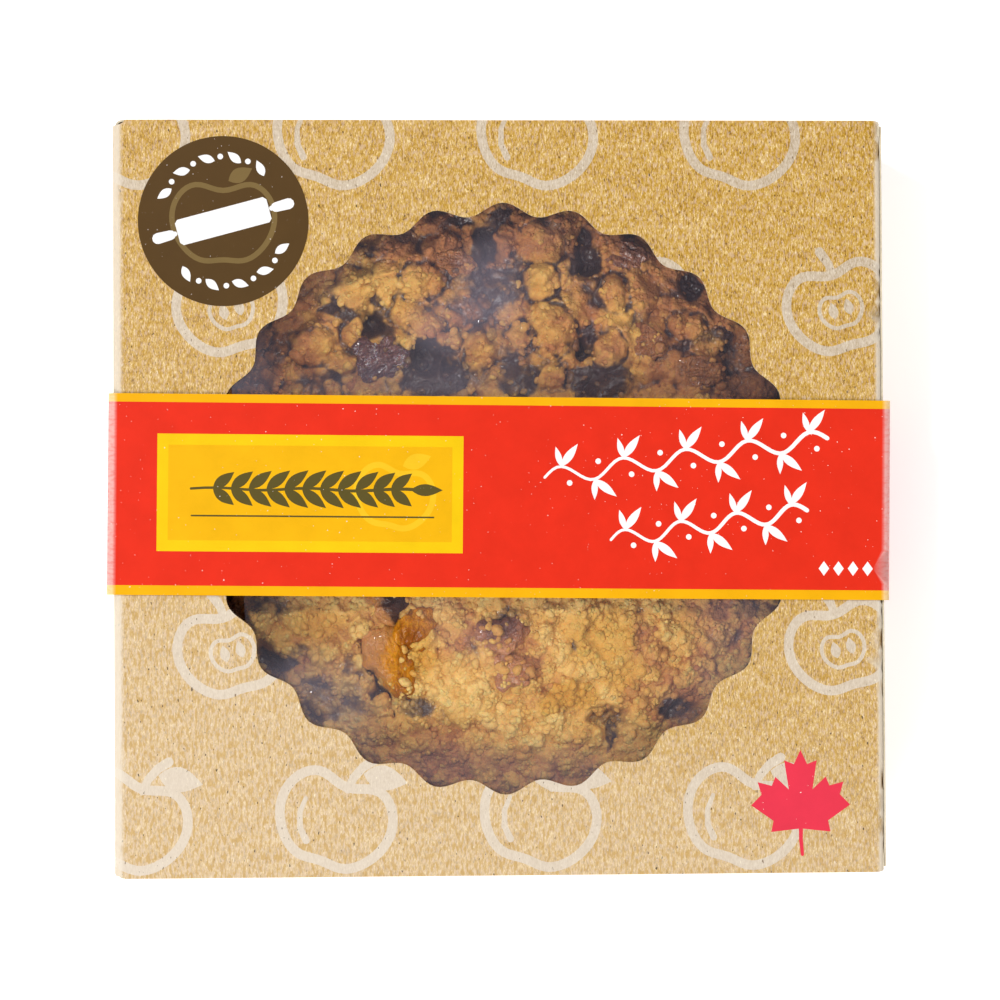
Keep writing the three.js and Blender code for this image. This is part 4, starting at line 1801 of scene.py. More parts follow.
def turned(profile: Sequence[Point], sides: int, ripple: Ripple | None = None) -> tuple[Array, Array]:
    """Turns a profile about the middle of the pie.

    Args:
        profile: Radius and height of each point, from the axis below to the axis above.
        sides: How many steps there are round.
        ripple: Moves radius and height, given radius, height and angle.

    Returns:
        The points and the triangles.
    """
    radius, height = (np.array(column)[:, None] for column in zip(*profile, strict=True))
    angle = np.linspace(0, 2 * math.pi, sides, endpoint=False)[None, :]
    radius, height, angle = np.broadcast_arrays(radius, height, angle)
    if ripple is not None:
        radius, height = ripple(radius, height, angle)
    points = np.stack([radius * np.cos(angle), radius * np.sin(angle), height], -1).reshape(-1, 3)
    return points, with_area(points, grid_faces(len(profile), sides, True))


@dataclass
class PieTin:
    """The pressed foil tin: a fluted wall, a flat flange and a rolled edge."""

    base_radius: float = 80.0
    top_radius: float = 99.0
    foil: float = 0.2
    roll: float = 1.1
    flutes: int = 72

    def build(self) -> None:
        """Makes the tin as one closed skin."""
        box = Box.of("pie_tin")
        base, rim, foot = box.low.z, box.high.z - 0.35, self.base_radius
        spread, rise = self.top_radius - foot, rim - base - 1.6
        outer = [(0.0, base), (foot - 2.0, base), (foot - 0.6, base + 0.5)]
        outer += [(foot + spread * i / 8, base + 1.0 + rise * i / 8) for i in range(9)]
        directions = (bearing(angle) for angle in range(-150, 121, 30))
        middle = box.high.x - self.roll
        roll = [(middle + self.roll * cos, rim - 0.45 + 0.8 * sin) for cos, sin in directions]
        inner = [(radius - self.foil, height + self.foil) for radius, height in outer[::-1][:-1]]
        profile = outer + roll + inner + [(0.0, base + self.foil)]
        wall_low, wall_high = base + 2.0, rim - 1.2

        def flute(radius: Array, height: Array, angle: Array) -> tuple[Array, Array]:
            """Presses flutes into the sloping wall.

            Args:
                radius: How far out each point is.
                height: How high.
                angle: In which direction.

            Returns:
                The new radius and height.
            """
            depth = 0.28 * smoothstep(wall_low, wall_low + 3, height)
            depth = depth * (1 - smoothstep(wall_high - 2, wall_high, height))
            return radius + depth * np.cos(self.flutes * angle), height

        mesh = Triangles().add(*turned(profile, self.flutes * 6, flute))
        keep_piece(mesh.make("pressed_pie_tin", [FOIL]), "foil", "pie_tin")


@dataclass
class PastryShell:
    """The pastry that lines the tin, with a crimped edge."""

    thickness: float = 4.0
    crimps: int = 30
    out: float = 1.1
    up: float = 0.9
    inner_foot: float = 75.6
    inner_edge: float = 93.2
    outer_foot: float = 79.1
    outer_top: float = 98.0
    outer_edge: float = 103.5
    crest_radius: float = 98.35
    crest_half: float = 5.15
    crest_height: float = 3.0

    def build(self) -> None:
        """Makes the shell as one closed skin."""
        box = Box.of("pastry_shell")
        low = box.low.z
        top = box.high.z - self.up
        under = top - 2 * self.crest_height
        spread, height = self.outer_top - self.outer_foot, under - low
        rise = [(self.outer_foot + spread * i / 6, low + height * i / 6) for i in range(7)]
        middle = top - self.crest_height
        directions = (bearing(angle) for angle in range(-20, 181, 20))
        crest = [
            (self.crest_radius + self.crest_half * cos, middle + self.crest_height * sin)
            for cos, sin in directions
        ]
        inner, floor = self.inner_edge, low + self.thickness
        fall = [(inner, top - 4.2), (inner, under + 0.2), (inner - 6, under - 9.0)]
        fall += [(self.inner_foot, floor), (0.0, floor)]
        profile = [(0.0, low), *rise, (self.outer_edge - 1.0, under), *crest, *fall]

        def crimp(radius: Array, height: Array, angle: Array) -> tuple[Array, Array]:
            """Raises and widens the edge at each crimp, with small uneven dents.

            Args:
                radius: How far out each point is.
                height: How high.
                angle: In which direction.

            Returns:
                The new radius and height.
            """
            edge = smoothstep(under + 0.5, top, height) * smoothstep(inner + 0.2, inner + 3, radius)
            crest_wave = np.cos(self.crimps * angle) + 0.25 * np.cos(2 * self.crimps * angle + 0.7)
            uneven = 0.25 * np.sin(7 * angle + 1) + 0.2 * np.sin(13 * angle)
            wider = self.out * edge * (crest_wave + uneven) * 0.8
            taller = self.up * edge * (crest_wave + uneven) * 0.8
            return radius + wider, height + taller

        points, faces = turned(profile, self.crimps * 16, crimp)
        x, y, z = points.T
        toast = 0.25 + 0.6 * smoothstep(under, top + 1, z) * smoothstep(90, 96, np.hypot(x, y))
        mesh = Triangles().add(points, faces, toast=toast)
        keep_piece(mesh.make("crimped_pastry_shell", [PASTRY]), "pastry", "pastry_shell")


@dataclass
class Filling:
    """Apple in dark syrup: a low dome with soft lumps."""

    sides: int = 180
    rings: int = 44
    base_radius: float = 75.0
    knee: float = 25.0
    wall_top: float = 31.6
    shoulder: float = 33.0

    def build(self) -> None:
        """Makes the filling as one closed skin."""
        box = Box.of("apple_filling")
        edge, low, high, shoulder = box.high.x, box.low.z, box.high.z, self.shoulder
        profile = [(0.0, low), (self.base_radius, low), (edge - 4.0, self.knee)]
        profile += [(edge, self.wall_top), (edge, shoulder)]
        for ring in range(1, self.rings + 1):
            radius = edge * (1 - ring / self.rings)
            profile.append((radius, shoulder + (high - shoulder) * (1 - (radius / edge) ** 2)))
        points, faces = turned(profile, self.sides)
        for point in points:
            if point[2] > shoulder + 0.05:
                point[2] -= 0.5 - 0.5 * noise.noise(Vector(point) * 0.12)
        mesh = Triangles().add(points, faces)
        keep_piece(mesh.make("syrupy_filling", [SYRUP]), "filling", "apple_filling")


def solid_tree(node: bpy.types.Object) -> BVHTree:
    """A search tree of a solid's faces, in millimetres."""
    points = [vertex.co / MM for vertex in node.data.vertices]
    return BVHTree.FromPolygons(points, [tuple(face.vertices) for face in node.data.polygons])


def away_from(line: Sequence[Point], x: Array, y: Array) -> Array:
    """How far places are from a line of points.

    Args:
        line: The points that it joins.
        x: Places across.
        y: Places along.

    Returns:
        The distance of each place.
    """
    nearest = np.full(x.shape, np.inf)
    for (x0, y0), (x1, y1) in zip(line, line[1:]):
        run = (x1 - x0) ** 2 + (y1 - y0) ** 2
        part = np.clip(((x - x0) * (x1 - x0) + (y - y0) * (y1 - y0)) / run, 0, 1)
        nearest = np.minimum(nearest, np.hypot(x - x0 - part * (x1 - x0), y - y0 - part * (y1 - y0)))
    return nearest


class SoftNoise:
    """Smooth random values over a plane, the same at every run."""

    def __init__(self, seed: int, values: int = 83) -> None:
        """Draws the values that the noise runs between before it repeats."""
        self.values = values
        self.table = np.random.default_rng(seed).random((values, values)) * 2 - 1

    def at(self, x: Array, y: Array, size: float) -> Array:
        """Values from -1 to 1.

        Args:
            x: Places across.
            y: Places along.
            size: How far apart the drawn values lie.

        Returns:
            The values there.
        """
        column, row = x / size, y / size
        i, j = np.floor(column).astype(int), np.floor(row).astype(int)
        right, up = smoothstep(0.0, 1.0, column - i), smoothstep(0.0, 1.0, row - j)

        def between(line: Array) -> Array:
            """The values along one line of the table."""
            near, far = (self.table[line % self.values, place % self.values] for place in (i, i + 1))
            return near + (far - near) * right

        return between(j) * (1 - up) + between(j + 1) * up


def blended(table: Array, column: Array, row: Array) -> Array:
    """Values of a table between its places.

    Args:
        table: The values.
        column: Where to read it across.
        row: Where to read it along.

    Returns:
        The values there.
    """
    i, j = column.astype(int), row.astype(int)
    fx, fy = column - i, row - j
    lower = table[j, i] * (1 - fx) + table[j, i + 1] * fx
    upper = table[j + 1, i] * (1 - fx) + table[j + 1, i + 1] * fx
    return lower * (1 - fy) + upper * fy


@dataclass(frozen=True)
class Lumps:
    """A size of lump in the heap: how many, how wide, how high, and the shares kept front and back."""

    count: int
    smallest: float
    largest: float
    rise: float
    sunk: float
    front: float
    back: float
    seed: int


@dataclass
class Heap:
    """Round lumps heaped on one another within a radius, as heights and tones on an even grid."""

    radius: float
    margin: float = 2.0
    pitch: float = 0.4
    hidden_half: float = 23.0
    hidden_share: float = 0.15
    kinds: tuple[Lumps, ...] = (
        Lumps(620, 3.4, 7.4, 0.42, 0.05, 0.15, 0.85, 51),
        Lumps(1300, 2.2, 4.4, 0.46, 0.1, 0.6, 0.2, 54),
        Lumps(4200, 1.0, 2.2, 0.6, 0.3, 1.0, 1.0, 52),
        Lumps(16000, 0.55, 1.15, 0.6, 0.3, 1.0, 0.7, 53),
    )

    def __post_init__(self) -> None:
        """Heaps up all lumps."""
        steps = np.arange(-self.radius - self.margin, self.radius + self.margin, self.pitch)
        x, y = np.meshgrid(steps, steps, indexing="xy")
        soft = SoftNoise(8)
        self.x = x + 1.2 * soft.at(x, y, 5.0) + 0.25 * soft.at(y, x, 1.7)
        self.y = y + 1.2 * soft.at(x + 41.0, y, 5.0) + 0.25 * soft.at(y, x + 23.0, 1.7)
        self.height, self.tone = np.zeros(x.shape), np.zeros(x.shape)
        for kind in self.kinds:
            self.drop(kind)

    def drop(self, lumps: Lumps) -> None:
        """Drops lumps of one size onto what lies there.

        Args:
            lumps: Their size and number.
        """
        draw, rest = np.random.default_rng(lumps.seed), self.height.copy()
        reach = self.radius * np.sqrt(draw.random(lumps.count))
        angle = draw.random(lumps.count) * 2 * math.pi
        y = reach * np.sin(angle)
        chance = lumps.front + (lumps.back - lumps.front) * smoothstep(*FRONT_TO_BACK, y)
        chance = np.where(np.abs(y) < self.hidden_half, self.hidden_share, chance)
        kept = draw.random(lumps.count) < chance
        width = lumps.smallest + (lumps.largest - lumps.smallest) * draw.random(lumps.count) ** 1.5
        shape = draw.random((lumps.count, 4))
        first = -self.radius - self.margin
        for index in np.nonzero(kept)[0]:
            size, lean = width[index], shape[index, 0] * math.pi
            column = round((reach[index] * math.cos(angle[index]) - first) / self.pitch)
            row = round((y[index] - first) / self.pitch)
            wide = math.ceil((size * 1.2 + 2.0) / self.pitch)
            part = tuple(slice(max(0, middle - wide), middle + wide + 1) for middle in (row, column))
            dx, dy = self.x[part] - self.x[row, column], self.y[part] - self.y[row, column]
            along = (dx * math.cos(lean) + dy * math.sin(lean)) / size
            across = (dy * math.cos(lean) - dx * math.sin(lean)) / (size * (0.6 + 0.4 * shape[index, 1]))
            dome = np.maximum(0.0, 1 - along**2 - across**2) ** 0.62
            rise = size * lumps.rise * (0.7 + 0.5 * shape[index, 2])
            raised = np.where(dome > 0, rest[row, column] + rise * (dome - lumps.sunk), -9.0)
            higher = raised > self.height[part]
            self.height[part] = np.where(higher, raised, self.height[part])
            tone = 0.5 * self.tone[part] + shape[index, 3] - 0.5
            self.tone[part] = np.where(higher, tone, self.tone[part])

    def read(self, table: Array, x: Array, y: Array) -> Array:
        """Values of the heights or the tones at places on the pie."""
        edge = self.radius + self.margin
        return blended(table, (x + edge) / self.pitch, (y + edge) / self.pitch)


@dataclass
class CrumbleRelief:
    """The crumble's heights over the whole pie, read from its solid on a grid bent into a disc.

    The grid's rows are close where the pie shows and wide apart under the sleeve. Each piece of apple
    comes with the share of crumbs that lie on it, from 0 to 1.
    """

    solid: bpy.types.Object
    apples: Sequence[tuple[bpy.types.Object, float]]
    edge_rise: float = 3.7
    dome: float = 14.0
    filling_dome: float = 5.0
    under_sleeve: float = 0.27
    cells: int = 470

    def __post_init__(self) -> None:
        """Reads the solid's top, filled up where the apple pieces lie in it."""
        cells = self.cells
        box = Box.of("crumble_topping")
        self.radius = box.high.x - 0.05
        self.low = box.low.z
        shown = np.linspace(self.under_sleeve, 1, round((1 - self.under_sleeve) * cells / 2) + 1)
        hidden = np.linspace(-self.under_sleeve, self.under_sleeve, 18)[1:-1]
        self.rows = np.concatenate([-shown[::-1], hidden, shown])
        u, v = np.meshgrid(np.linspace(-1, 1, cells + 1), self.rows, indexing="xy")
        x, y = self.radius * u * np.sqrt(1 - v * v / 2), self.radius * v * np.sqrt(1 - u * u / 2)
        self.x, self.y = x, y
        soft, inner = SoftNoise(9), 0.999 - 0.026 * smoothstep(60.0, 90.0, np.hypot(x, y))
        self.cast_x = x * inner + 2.3 * soft.at(x, y, 4.5) + 0.7 * soft.at(x, y, 1.8)
        self.cast_y = y * inner + 2.3 * soft.at(y, x, 4.5) + 0.7 * soft.at(y, x, 1.8)
        self.z = self.cast(self.solid)
        self.cast_x, self.cast_y = x, y
        self.open = np.isnan(self.z)
        self.z = np.where(self.open, self.floor_at(x, y), self.z)
        self.apple_top = np.full(x.shape, -1.0)
        self.dusted = np.ones(x.shape)
        for apple, crumbs in self.apples:
            top = self.cast(apple)
            lies = ~np.isnan(top)
            self.apple_top[lies] = top[lies]
            beyond = x[lies] - x[lies].mean()
            banked = smoothstep(0.6, 2.0, top[lies].max() - top[lies]) * smoothstep(-2.0, 2.5, beyond)
            self.dusted[lies] = crumbs + 0.9 * banked
        beside = self.softened((self.apple_top > 0) * 1.0, 5) > 0.02
        self.open &= ~beside
        resting = self.dome_at(x, y) + np.where(y > 0, 2.6, 1.9)
        self.z = self.softened(np.where(beside, resting, self.z), 14)

    def cast(self, solid: bpy.types.Object) -> Array:
        """Looks down on a solid from each point of the grid.

        Args:
            solid: The solid.

        Returns:
            The height of its top at each point, or not a number beside it.
        """
        tree, down = solid_tree(solid), Vector((0, 0, -1))
        corners_x, corners_y, _ = zip(*(vertex.co / MM for vertex in solid.data.vertices), strict=True)
        near = (self.x > min(corners_x)) & (self.x < max(corners_x))
        near &= (self.y > min(corners_y)) & (self.y < max(corners_y))
        heights = np.full(self.x.shape, np.nan)
        for index in zip(*np.nonzero(near), strict=True):
            hit = tree.ray_cast(Vector((self.cast_x[index], self.cast_y[index], 80.0)), down)[0]
            if hit is not None:
                heights[index] = hit.z
        return heights

    def bulge_at(self, x: Array, y: Array) -> Array:
        """How domed the pie is at a place: 1 in the middle and 0 at the edge."""
        return 1 - (x * x + y * y) / self.radius**2

    def floor_at(self, x: Array, y: Array) -> Array:
        """The height just above the filling."""
        return self.low + self.filling_dome * self.bulge_at(x, y) + 0.6

    def dome_at(self, x: Array, y: Array) -> Array:
        """The height of the crumble without its clumps."""
        return self.low + self.edge_rise + self.dome * self.bulge_at(x, y)

    @staticmethod
    def softened(table: Array, times: int) -> Array:
        """Evens a table out.

        Args:
            table: One value for each point of the grid.
            times: How often each value is evened out with its neighbours.

        Returns:
            The softer table.
        """
        for _ in range(times):
            wide = np.pad(table, 1, mode="edge")
            near = wide[:-2, 1:-1] + wide[2:, 1:-1] + wide[1:-1, :-2] + wide[1:-1, 2:]
            table = 0.3 * table + 0.175 * near
        return table

    def read(self, table: Array, x: Array, y: Array) -> Array:
        """Values of a table at places on the pie.

        Args:
            table: One value for each point of the grid.
            x: Places across.
            y: Places along.

        Returns:
            The values there.
        """
        a, b, root = x / self.radius, y / self.radius, 2 * math.sqrt(2)

        def straight(first: Array, second: Array) -> Array:
            """A coordinate on the square, from both on the disc.

            Args:
                first: The same coordinate on the disc.
                second: The other one.

            Returns:
                The coordinate.
            """
            grown = np.sqrt(np.maximum(0, 2 + first * first - second * second + root * first))
            shrunk = np.sqrt(np.maximum(0, 2 + first * first - second * second - root * first))
            return np.clip((grown - shrunk) / 2, -1, 1)

        last = len(self.rows) - 1
        column = np.minimum((straight(a, b) + 1) / 2 * self.cells, self.cells - 1e-6)
        row = np.minimum(np.interp(straight(b, a), self.rows, np.arange(last + 1)), last - 1e-6)
        return blended(table, column, row)


def unit_crumbs(kinds: int, detail: int, seed: int, grains: int = 6) -> tuple[Array, Array]:
    """Crumbs of about unit radius, each a few round grains stuck together.

    Args:
        kinds: How many different ones to make.
        detail: How finely they are divided.
        seed: What their shapes follow from.
        grains: How many grains make one.

    Returns:
        Their points, one set for each kind, and the triangles that they share.
    """
    ball = bmesh.new()
    bmesh.ops.create_icosphere(ball, subdivisions=detail, radius=1.0)
    ball.verts.ensure_lookup_table()
    points = np.array([vertex.co[:] for vertex in ball.verts])
    faces = np.array([[vertex.index for vertex in face.verts] for face in ball.faces])
    ball.free()
    draw = np.random.default_rng(seed)
    middles = draw.normal(size=(kinds, grains, 3))
    middles *= (0.3 + 0.35 * draw.random((kinds, grains)) / np.linalg.norm(middles, axis=2))[:, :, None]
    middles *= 0.62 / np.maximum(0.62, np.linalg.norm(middles, axis=2))[:, :, None]
    radii = 0.64 + 0.12 * draw.random((kinds, grains))
    along = np.einsum("kgc,vc->kgv", middles, points)
    reach = along + np.sqrt((radii**2 - (middles**2).sum(axis=2))[:, :, None] + along**2)
    return reach.max(axis=1)[:, :, None] * points, faces


@dataclass(frozen=True)
class CrumbSize:
    """A size of crumb: how many there are, how deep they sit, and the share left out at the back."""

    name: str
    count: int
    smallest: float
    largest: float
    detail: int
    sunk: float
    thinned: float
    seed: int


@dataclass(frozen=True)
class Lump:
    """A large round clump of crumbs that stands out from the others."""

    x: float
    y: float
    across: float
    along: float
    rise: float = 2.6

    @staticmethod
    def each(*rows: tuple[float, ...]) -> tuple["Lump", ...]:
        """A lump from each row of numbers."""
        return tuple(Lump(*row) for row in rows)

    def reach(self, x: Array, y: Array) -> Array:
        """How far places are from its middle: 1 at its edge."""
        return np.sqrt(((x - self.x) / self.across) ** 2 + ((y - self.y) / self.along) ** 2)


@dataclass
class Crumble:
    """The crumble: a bed that follows the solid's heights, and the crumbs baked onto it."""

    relief: CrumbleRelief
    sizes: tuple[CrumbSize, ...] = (
        CrumbSize("coarse_crumbs", 150, 1.7, 2.8, 3, 0.55, 0.5, 11),
        CrumbSize("middle_crumbs", 1600, 0.9, 1.6, 2, 0.4, 0.6, 23),
        CrumbSize("fine_crumbs", 2450, 0.5, 0.9, 2, 0.25, 0.25, 37),
    )
    # How much more browned each patch is; the patch in the dark slit on the left, at (-82, -34), is painted
    # shadow, and those at the rim add painted shade to the browning.
    browned_and_shaded: tuple[Patch, ...] = Patch.each(
        (-38, 64, 26, 13, -0.18), (17, 50, 10, 10, 0.08), (6, 49, 6, 5, -0.02), (-7, 55, 9, 9, 0.2),
        (15, 66, 10, 10, 0.0), (-23, 54, 14, 8, 0.04), (-56, 46, 9, 8, -0.05), (59, 51, 10, 6, 0.0),
        (-59, 54, 10, 8, 0.12), (40, 66, 13, 12, 0.1), (-15, 74, 10, 7, 0.12), (6, 78, 12, 9, 0.14),
        (48, 60, 8, 8, 0.12), (56, 38, 14, 8, 0.14), (-10, -58, 18, 14, -0.14), (28, -40, 18, 15, -0.1),
        (45, -46, 10, 9, 0.26), (21, -61, 11, 7, 0.2), (-12, -40, 14, 12, 0.16), (5, -46, 12, 14, 0.26),
        (0, -88, 70, 18, 0.27), (52, -62, 26, 16, 0.2), (-32, -76, 30, 13, 0.12), (68, -38, 16, 20, 0.28),
        (-39, -36, 8, 7, 0.2), (-56, -42, 18, 12, 0.06), (-82, -34, 8, 14, 0.6), (-76, 40, 16, 20, 0.25),
        (76, 36, 16, 18, 0.25),
    )
    # Patches of syrup; the darkest, in the deep gaps and near the rim, are painted shade as well.
    soaked_and_shaded: tuple[Patch, ...] = Patch.each(
        (-47, 56, 10, 4, 0.95), (-37, 51, 11, 5, 0.95), (-21, 42, 14, 10, 1.1), (-17, 36, 20, 9, 1.1),
        (-33, 42, 12, 12, 0.7), (-4, 75, 4.5, 11, 0.95), (-12, 83, 11, 4, 0.9), (2, 86, 7, 5, 0.9),
        (27, 74, 7, 10, 1.25), (29, 63, 7, 9, 0.8), (20, 65, 3, 8, 0.75), (27, 48, 5, 10, 0.9),
        (30, 35, 14, 8, 1.1), (3, 41, 7, 12, 0.8), (8, 35, 18, 7, 0.8), (56, 63, 9, 7, 0.6),
        (67, 48, 8, 5, 0.9), (56, 46, 10, 3, 0.7), (-22, 57, 13, 9, 0.5), (-70, 40, 13, 16, 0.26),
        (-55, 34, 20, 6, 0.6), (75, 38, 11, 13, 0.5), (-2, 64, 15, 14, 0.82), (-12, 68, 9, 8, 0.6),
        (48, 62, 6, 7, 0.15), (-66, -49, 10, 6, 1.0), (-60, -45, 8, 3, 0.7), (-25, -64, 7, 6, 0.75),
        (-18, -67, 6, 5, 0.5), (-51, -61, 19, 14, 0.6), (-43, -53, 8, 8, 0.55), (34, -64, 8, 5, 0.5),
        (35, -73, 2.4, 8, 0.8), (56, -65, 10, 5, 0.95), (69, -43, 9, 8, 0.52), (2, -37, 11, 5, 0.7),
        (22.7, -44.6, 2.4, 2, 0.6), (44, -33.5, 4, 2.4, 0.6), (55, -32.5, 3.5, 2.6, 0.55),
        (13, -33, 3, 3, 0.55), (-70, -33, 12, 7, 0.62), (0, -90, 60, 10, 0.42), (-8, -45, 7, 9, 0.45),
        (76, -32, 10, 8, 0.5),
    )
    buttery: tuple[Patch, ...] = Patch.each(
        (30, -42, 18, 16, 0.8), (21, -61, 12, 8, 1.0), (-23, -46, 9, 14, 0.7), (-55, -37, 16, 9, 0.55),
        (36, -53, 14, 8, 0.6), (-10, -66, 20, 8, 0.3), (60, -38, 12, 10, 0.35), (17, 50, 7, 7, 0.3),
        (7, 50, 5, 5, 0.5), (14, 67, 8, 8, 0.3), (-42, 64, 9, 8, 0.3), (-54, 47, 8, 8, 0.3),
    )
    lumps: tuple[Lump, ...] = Lump.each(
        (17.2, 50.4, 6.2, 7.2), (7.0, 49.8, 3.8, 4.2), (-5.5, 44.8, 4.2, 6.8, 3.4), (-22.6, 65.8, 6.2, 5.6),
        (-33.6, 65.4, 4.6, 6.2), (-43.0, 64.0, 6.0, 6.4), (-43.6, 50.4, 3.2, 4.6), (-14.8, 48.0, 4.0, 2.8),
        (-20.6, 52.4, 4.8, 4.2), (-27.0, 56.4, 4.8, 4.6), (13.4, 77.6, 8.0, 6.4), (13.6, 65.6, 5.4, 5.4),
        (36.0, 62.0, 5.0, 5.4), (58.6, 52.4, 5.2, 4.4), (-56.0, 46.0, 6.8, 5.4), (16.0, 36.6, 5.0, 4.0),
        (3.4, 79.0, 4.4, 5.4), (-17.0, 76.0, 6.0, 5.0), (34.0, 45.0, 4.6, 5.6), (-47.0, 41.0, 5.0, 4.0),
        (-8.5, -62.0, 9.0, 7.0, 1.6), (-36.0, -63.0, 4.4, 3.2, 1.6), (-25.0, -73.0, 6.0, 4.0, 1.4),
        (4.0, -74.0, 7.0, 5.0, 1.4), (-52.0, -47.0, 6.0, 4.6, 1.6), (62.0, -52.0, 5.0, 5.0, 1.4),
        (-12.0, -80.0, 5.4, 4.2, 1.2), (-37.0, -72.0, 5.0, 4.2, 1.2), (17.0, -79.0, 6.0, 4.4, 1.2),
        (28.0, -72.0, 4.8, 4.0, 1.2), (44.0, -66.0, 5.0, 4.4, 1.2), (-16.0, -58.0, 5.0, 4.6, 1.4),
        (26.0, -35.0, 5.0, 4.6, 1.2), (38.0, -44.0, 6.0, 5.0, 1.2), (14.0, -64.0, 6.0, 4.6, 1.2),
    )
    cracks: tuple[tuple[Point, ...], ...] = (
        ((-42.0, -42.0), (-40.0, -47.5), (-37.0, -54.0), (-34.0, -60.0), (-32.0, -65.5)),
        ((34.4, -68.0), (35.2, -71.0), (34.6, -76.0)),
    )
    crack_depth: float = 4.0
    moat_depth: float = 1.2
    crumb_kinds: int = 24
    tries: float = 3.4
    scatter: float = 1.8
    hidden_half: float = 24.0
    hidden_share: float = 0.35

    def __post_init__(self) -> None:
        """Works out the bed's form, and how toasted and how soaked each place is."""
        relief, heap = self.relief, Heap(self.relief.radius)
        x, y, soft = relief.x, relief.y, SoftNoise(4)
        self.soft, self.back = soft, smoothstep(*FRONT_TO_BACK, y)
        self.strayed = x + 2.4 * soft.at(x + 11.0, y, 8.0), y + 2.4 * soft.at(y, x + 59.0, 8.0)
        lumps = heap.read(heap.height, x, y)
        self.heaped, self.tone = lumps - relief.softened(lumps, 400), heap.read(heap.tone, x, y)
        # How far each place lies below its neighbours; used to paint shade into the crevices.
        self.depth = np.clip(relief.softened(self.heaped, 60) - self.heaped, -1.0, 1.6)
        self.low = np.clip(-self.heaped, -1.5, 1.5)
        self.shape_top()
        self.soak_in()
        self.bake()

    def shape_top(self) -> None:
        """Works out the heights, with the large lumps, the moats round them and the cracks."""
        relief, soft, lumps = self.relief, self.soft, self.heaped
        x, y, floor = relief.x, relief.y, relief.floor_at(relief.x, relief.y)
        height = np.maximum(relief.z + lumps, floor + 1.3 * np.maximum(0.0, lumps + 0.6))
        torn = x + 1.2 * soft.at(x, y + 37.0, 3.0), y + 1.2 * soft.at(y + 37.0, x, 3.0)
        clear, moat = np.zeros(x.shape), np.zeros(x.shape)
        for lump in self.lumps:
            reach = lump.reach(*torn)
            domed = relief.dome_at(x, y) + 1.0 + lump.rise * np.sqrt(np.maximum(0.0, 1 - reach * reach))
            domed += (0.9 * lumps + 0.3) * (reach < 1)
            inner = 1 - smoothstep(0.86, 1.02, reach)
            raised = height + inner * np.maximum(0, domed - height)
            height = np.where(relief.apple_top > 0, height, raised)
            clear = np.maximum(clear, 1 - smoothstep(0.7, 0.98, reach))
            moat = np.maximum(moat, np.exp(-(((reach - 1.14) * (lump.across + lump.along) / 2.4) ** 2)))
        moat *= (1 - clear) * (0.3 + 0.7 * self.back)
        height = np.maximum(height - self.moat_depth * moat, floor)
        from_crack = np.minimum.reduce([away_from(crack, *torn) for crack in self.cracks])
        split = 1 - smoothstep(0.2, 1.5, from_crack)
        self.height = np.maximum(height - self.crack_depth * split, floor)
        self.clear, self.moat, self.split = clear, moat, split

    def strongest(self, patches: Sequence[Patch]) -> Array:
        """The strongest of some patches at each place."""
        return np.maximum.reduce([patch.at(*self.strayed) for patch in patches])

    def soak_in(self) -> None:
        """Works out where the syrup has come up, in hollows, cracks and at the back, and paints shade into
        the crevices between the grains and into the deep gaps.
        """
        relief, soft, back = self.relief, self.soft, self.back
        x, y = relief.x, relief.y
        mottle = 0.6 * soft.at(x, y, 3.3) + 0.4 * soft.at(y, x, 1.6)
        sunk = relief.softened(relief.open * 1.0, 8) * (0.6 + 0.5 * back)
        damp = back * (0.34 + 0.3 * soft.at(x + 29.0, y, 9.0))
        wet = [self.strongest(self.soaked_and_shaded), sunk, damp, 0.8 * self.split, 0.7 * self.moat * back]
        zone = np.maximum.reduce(wet) * (1 - 0.8 * self.clear)
        # The depth and low terms are painted shade in the crevices between the grains.
        zone += 0.16 * mottle + (0.03 + 0.1 * back) * self.depth
        self.soak = smoothstep(0.2, 0.95, zone + (0.1 + 0.03 * back) * self.low)

    def bake(self) -> None:
        """Works out how buttery and how toasted the bed is, with painted shade in the crevices and towards
        the rim.
        """
        x, y, soft, back = self.relief.x, self.relief.y, self.soft, self.back
        self.butter = self.strongest(self.buttery) - 0.1
        self.toast = 0.27 + 0.24 * back + sum(patch.at(*self.strayed) for patch in self.browned_and_shaded)
        # Darker towards the rim: browner baking and painted shade under the lid's edge.
        self.toast += 0.1 * smoothstep(64.0, 90.0, np.hypot(x, y)) + 0.12 * soft.at(x, y, 14.0)
        self.toast += 0.1 * soft.at(y, x + 17.0, 5.0) + 0.1 * self.tone
        # The depth and low terms darken the crevices: painted shade.
        self.toast += 0.05 * self.depth + 0.07 * self.low * (1 - back)

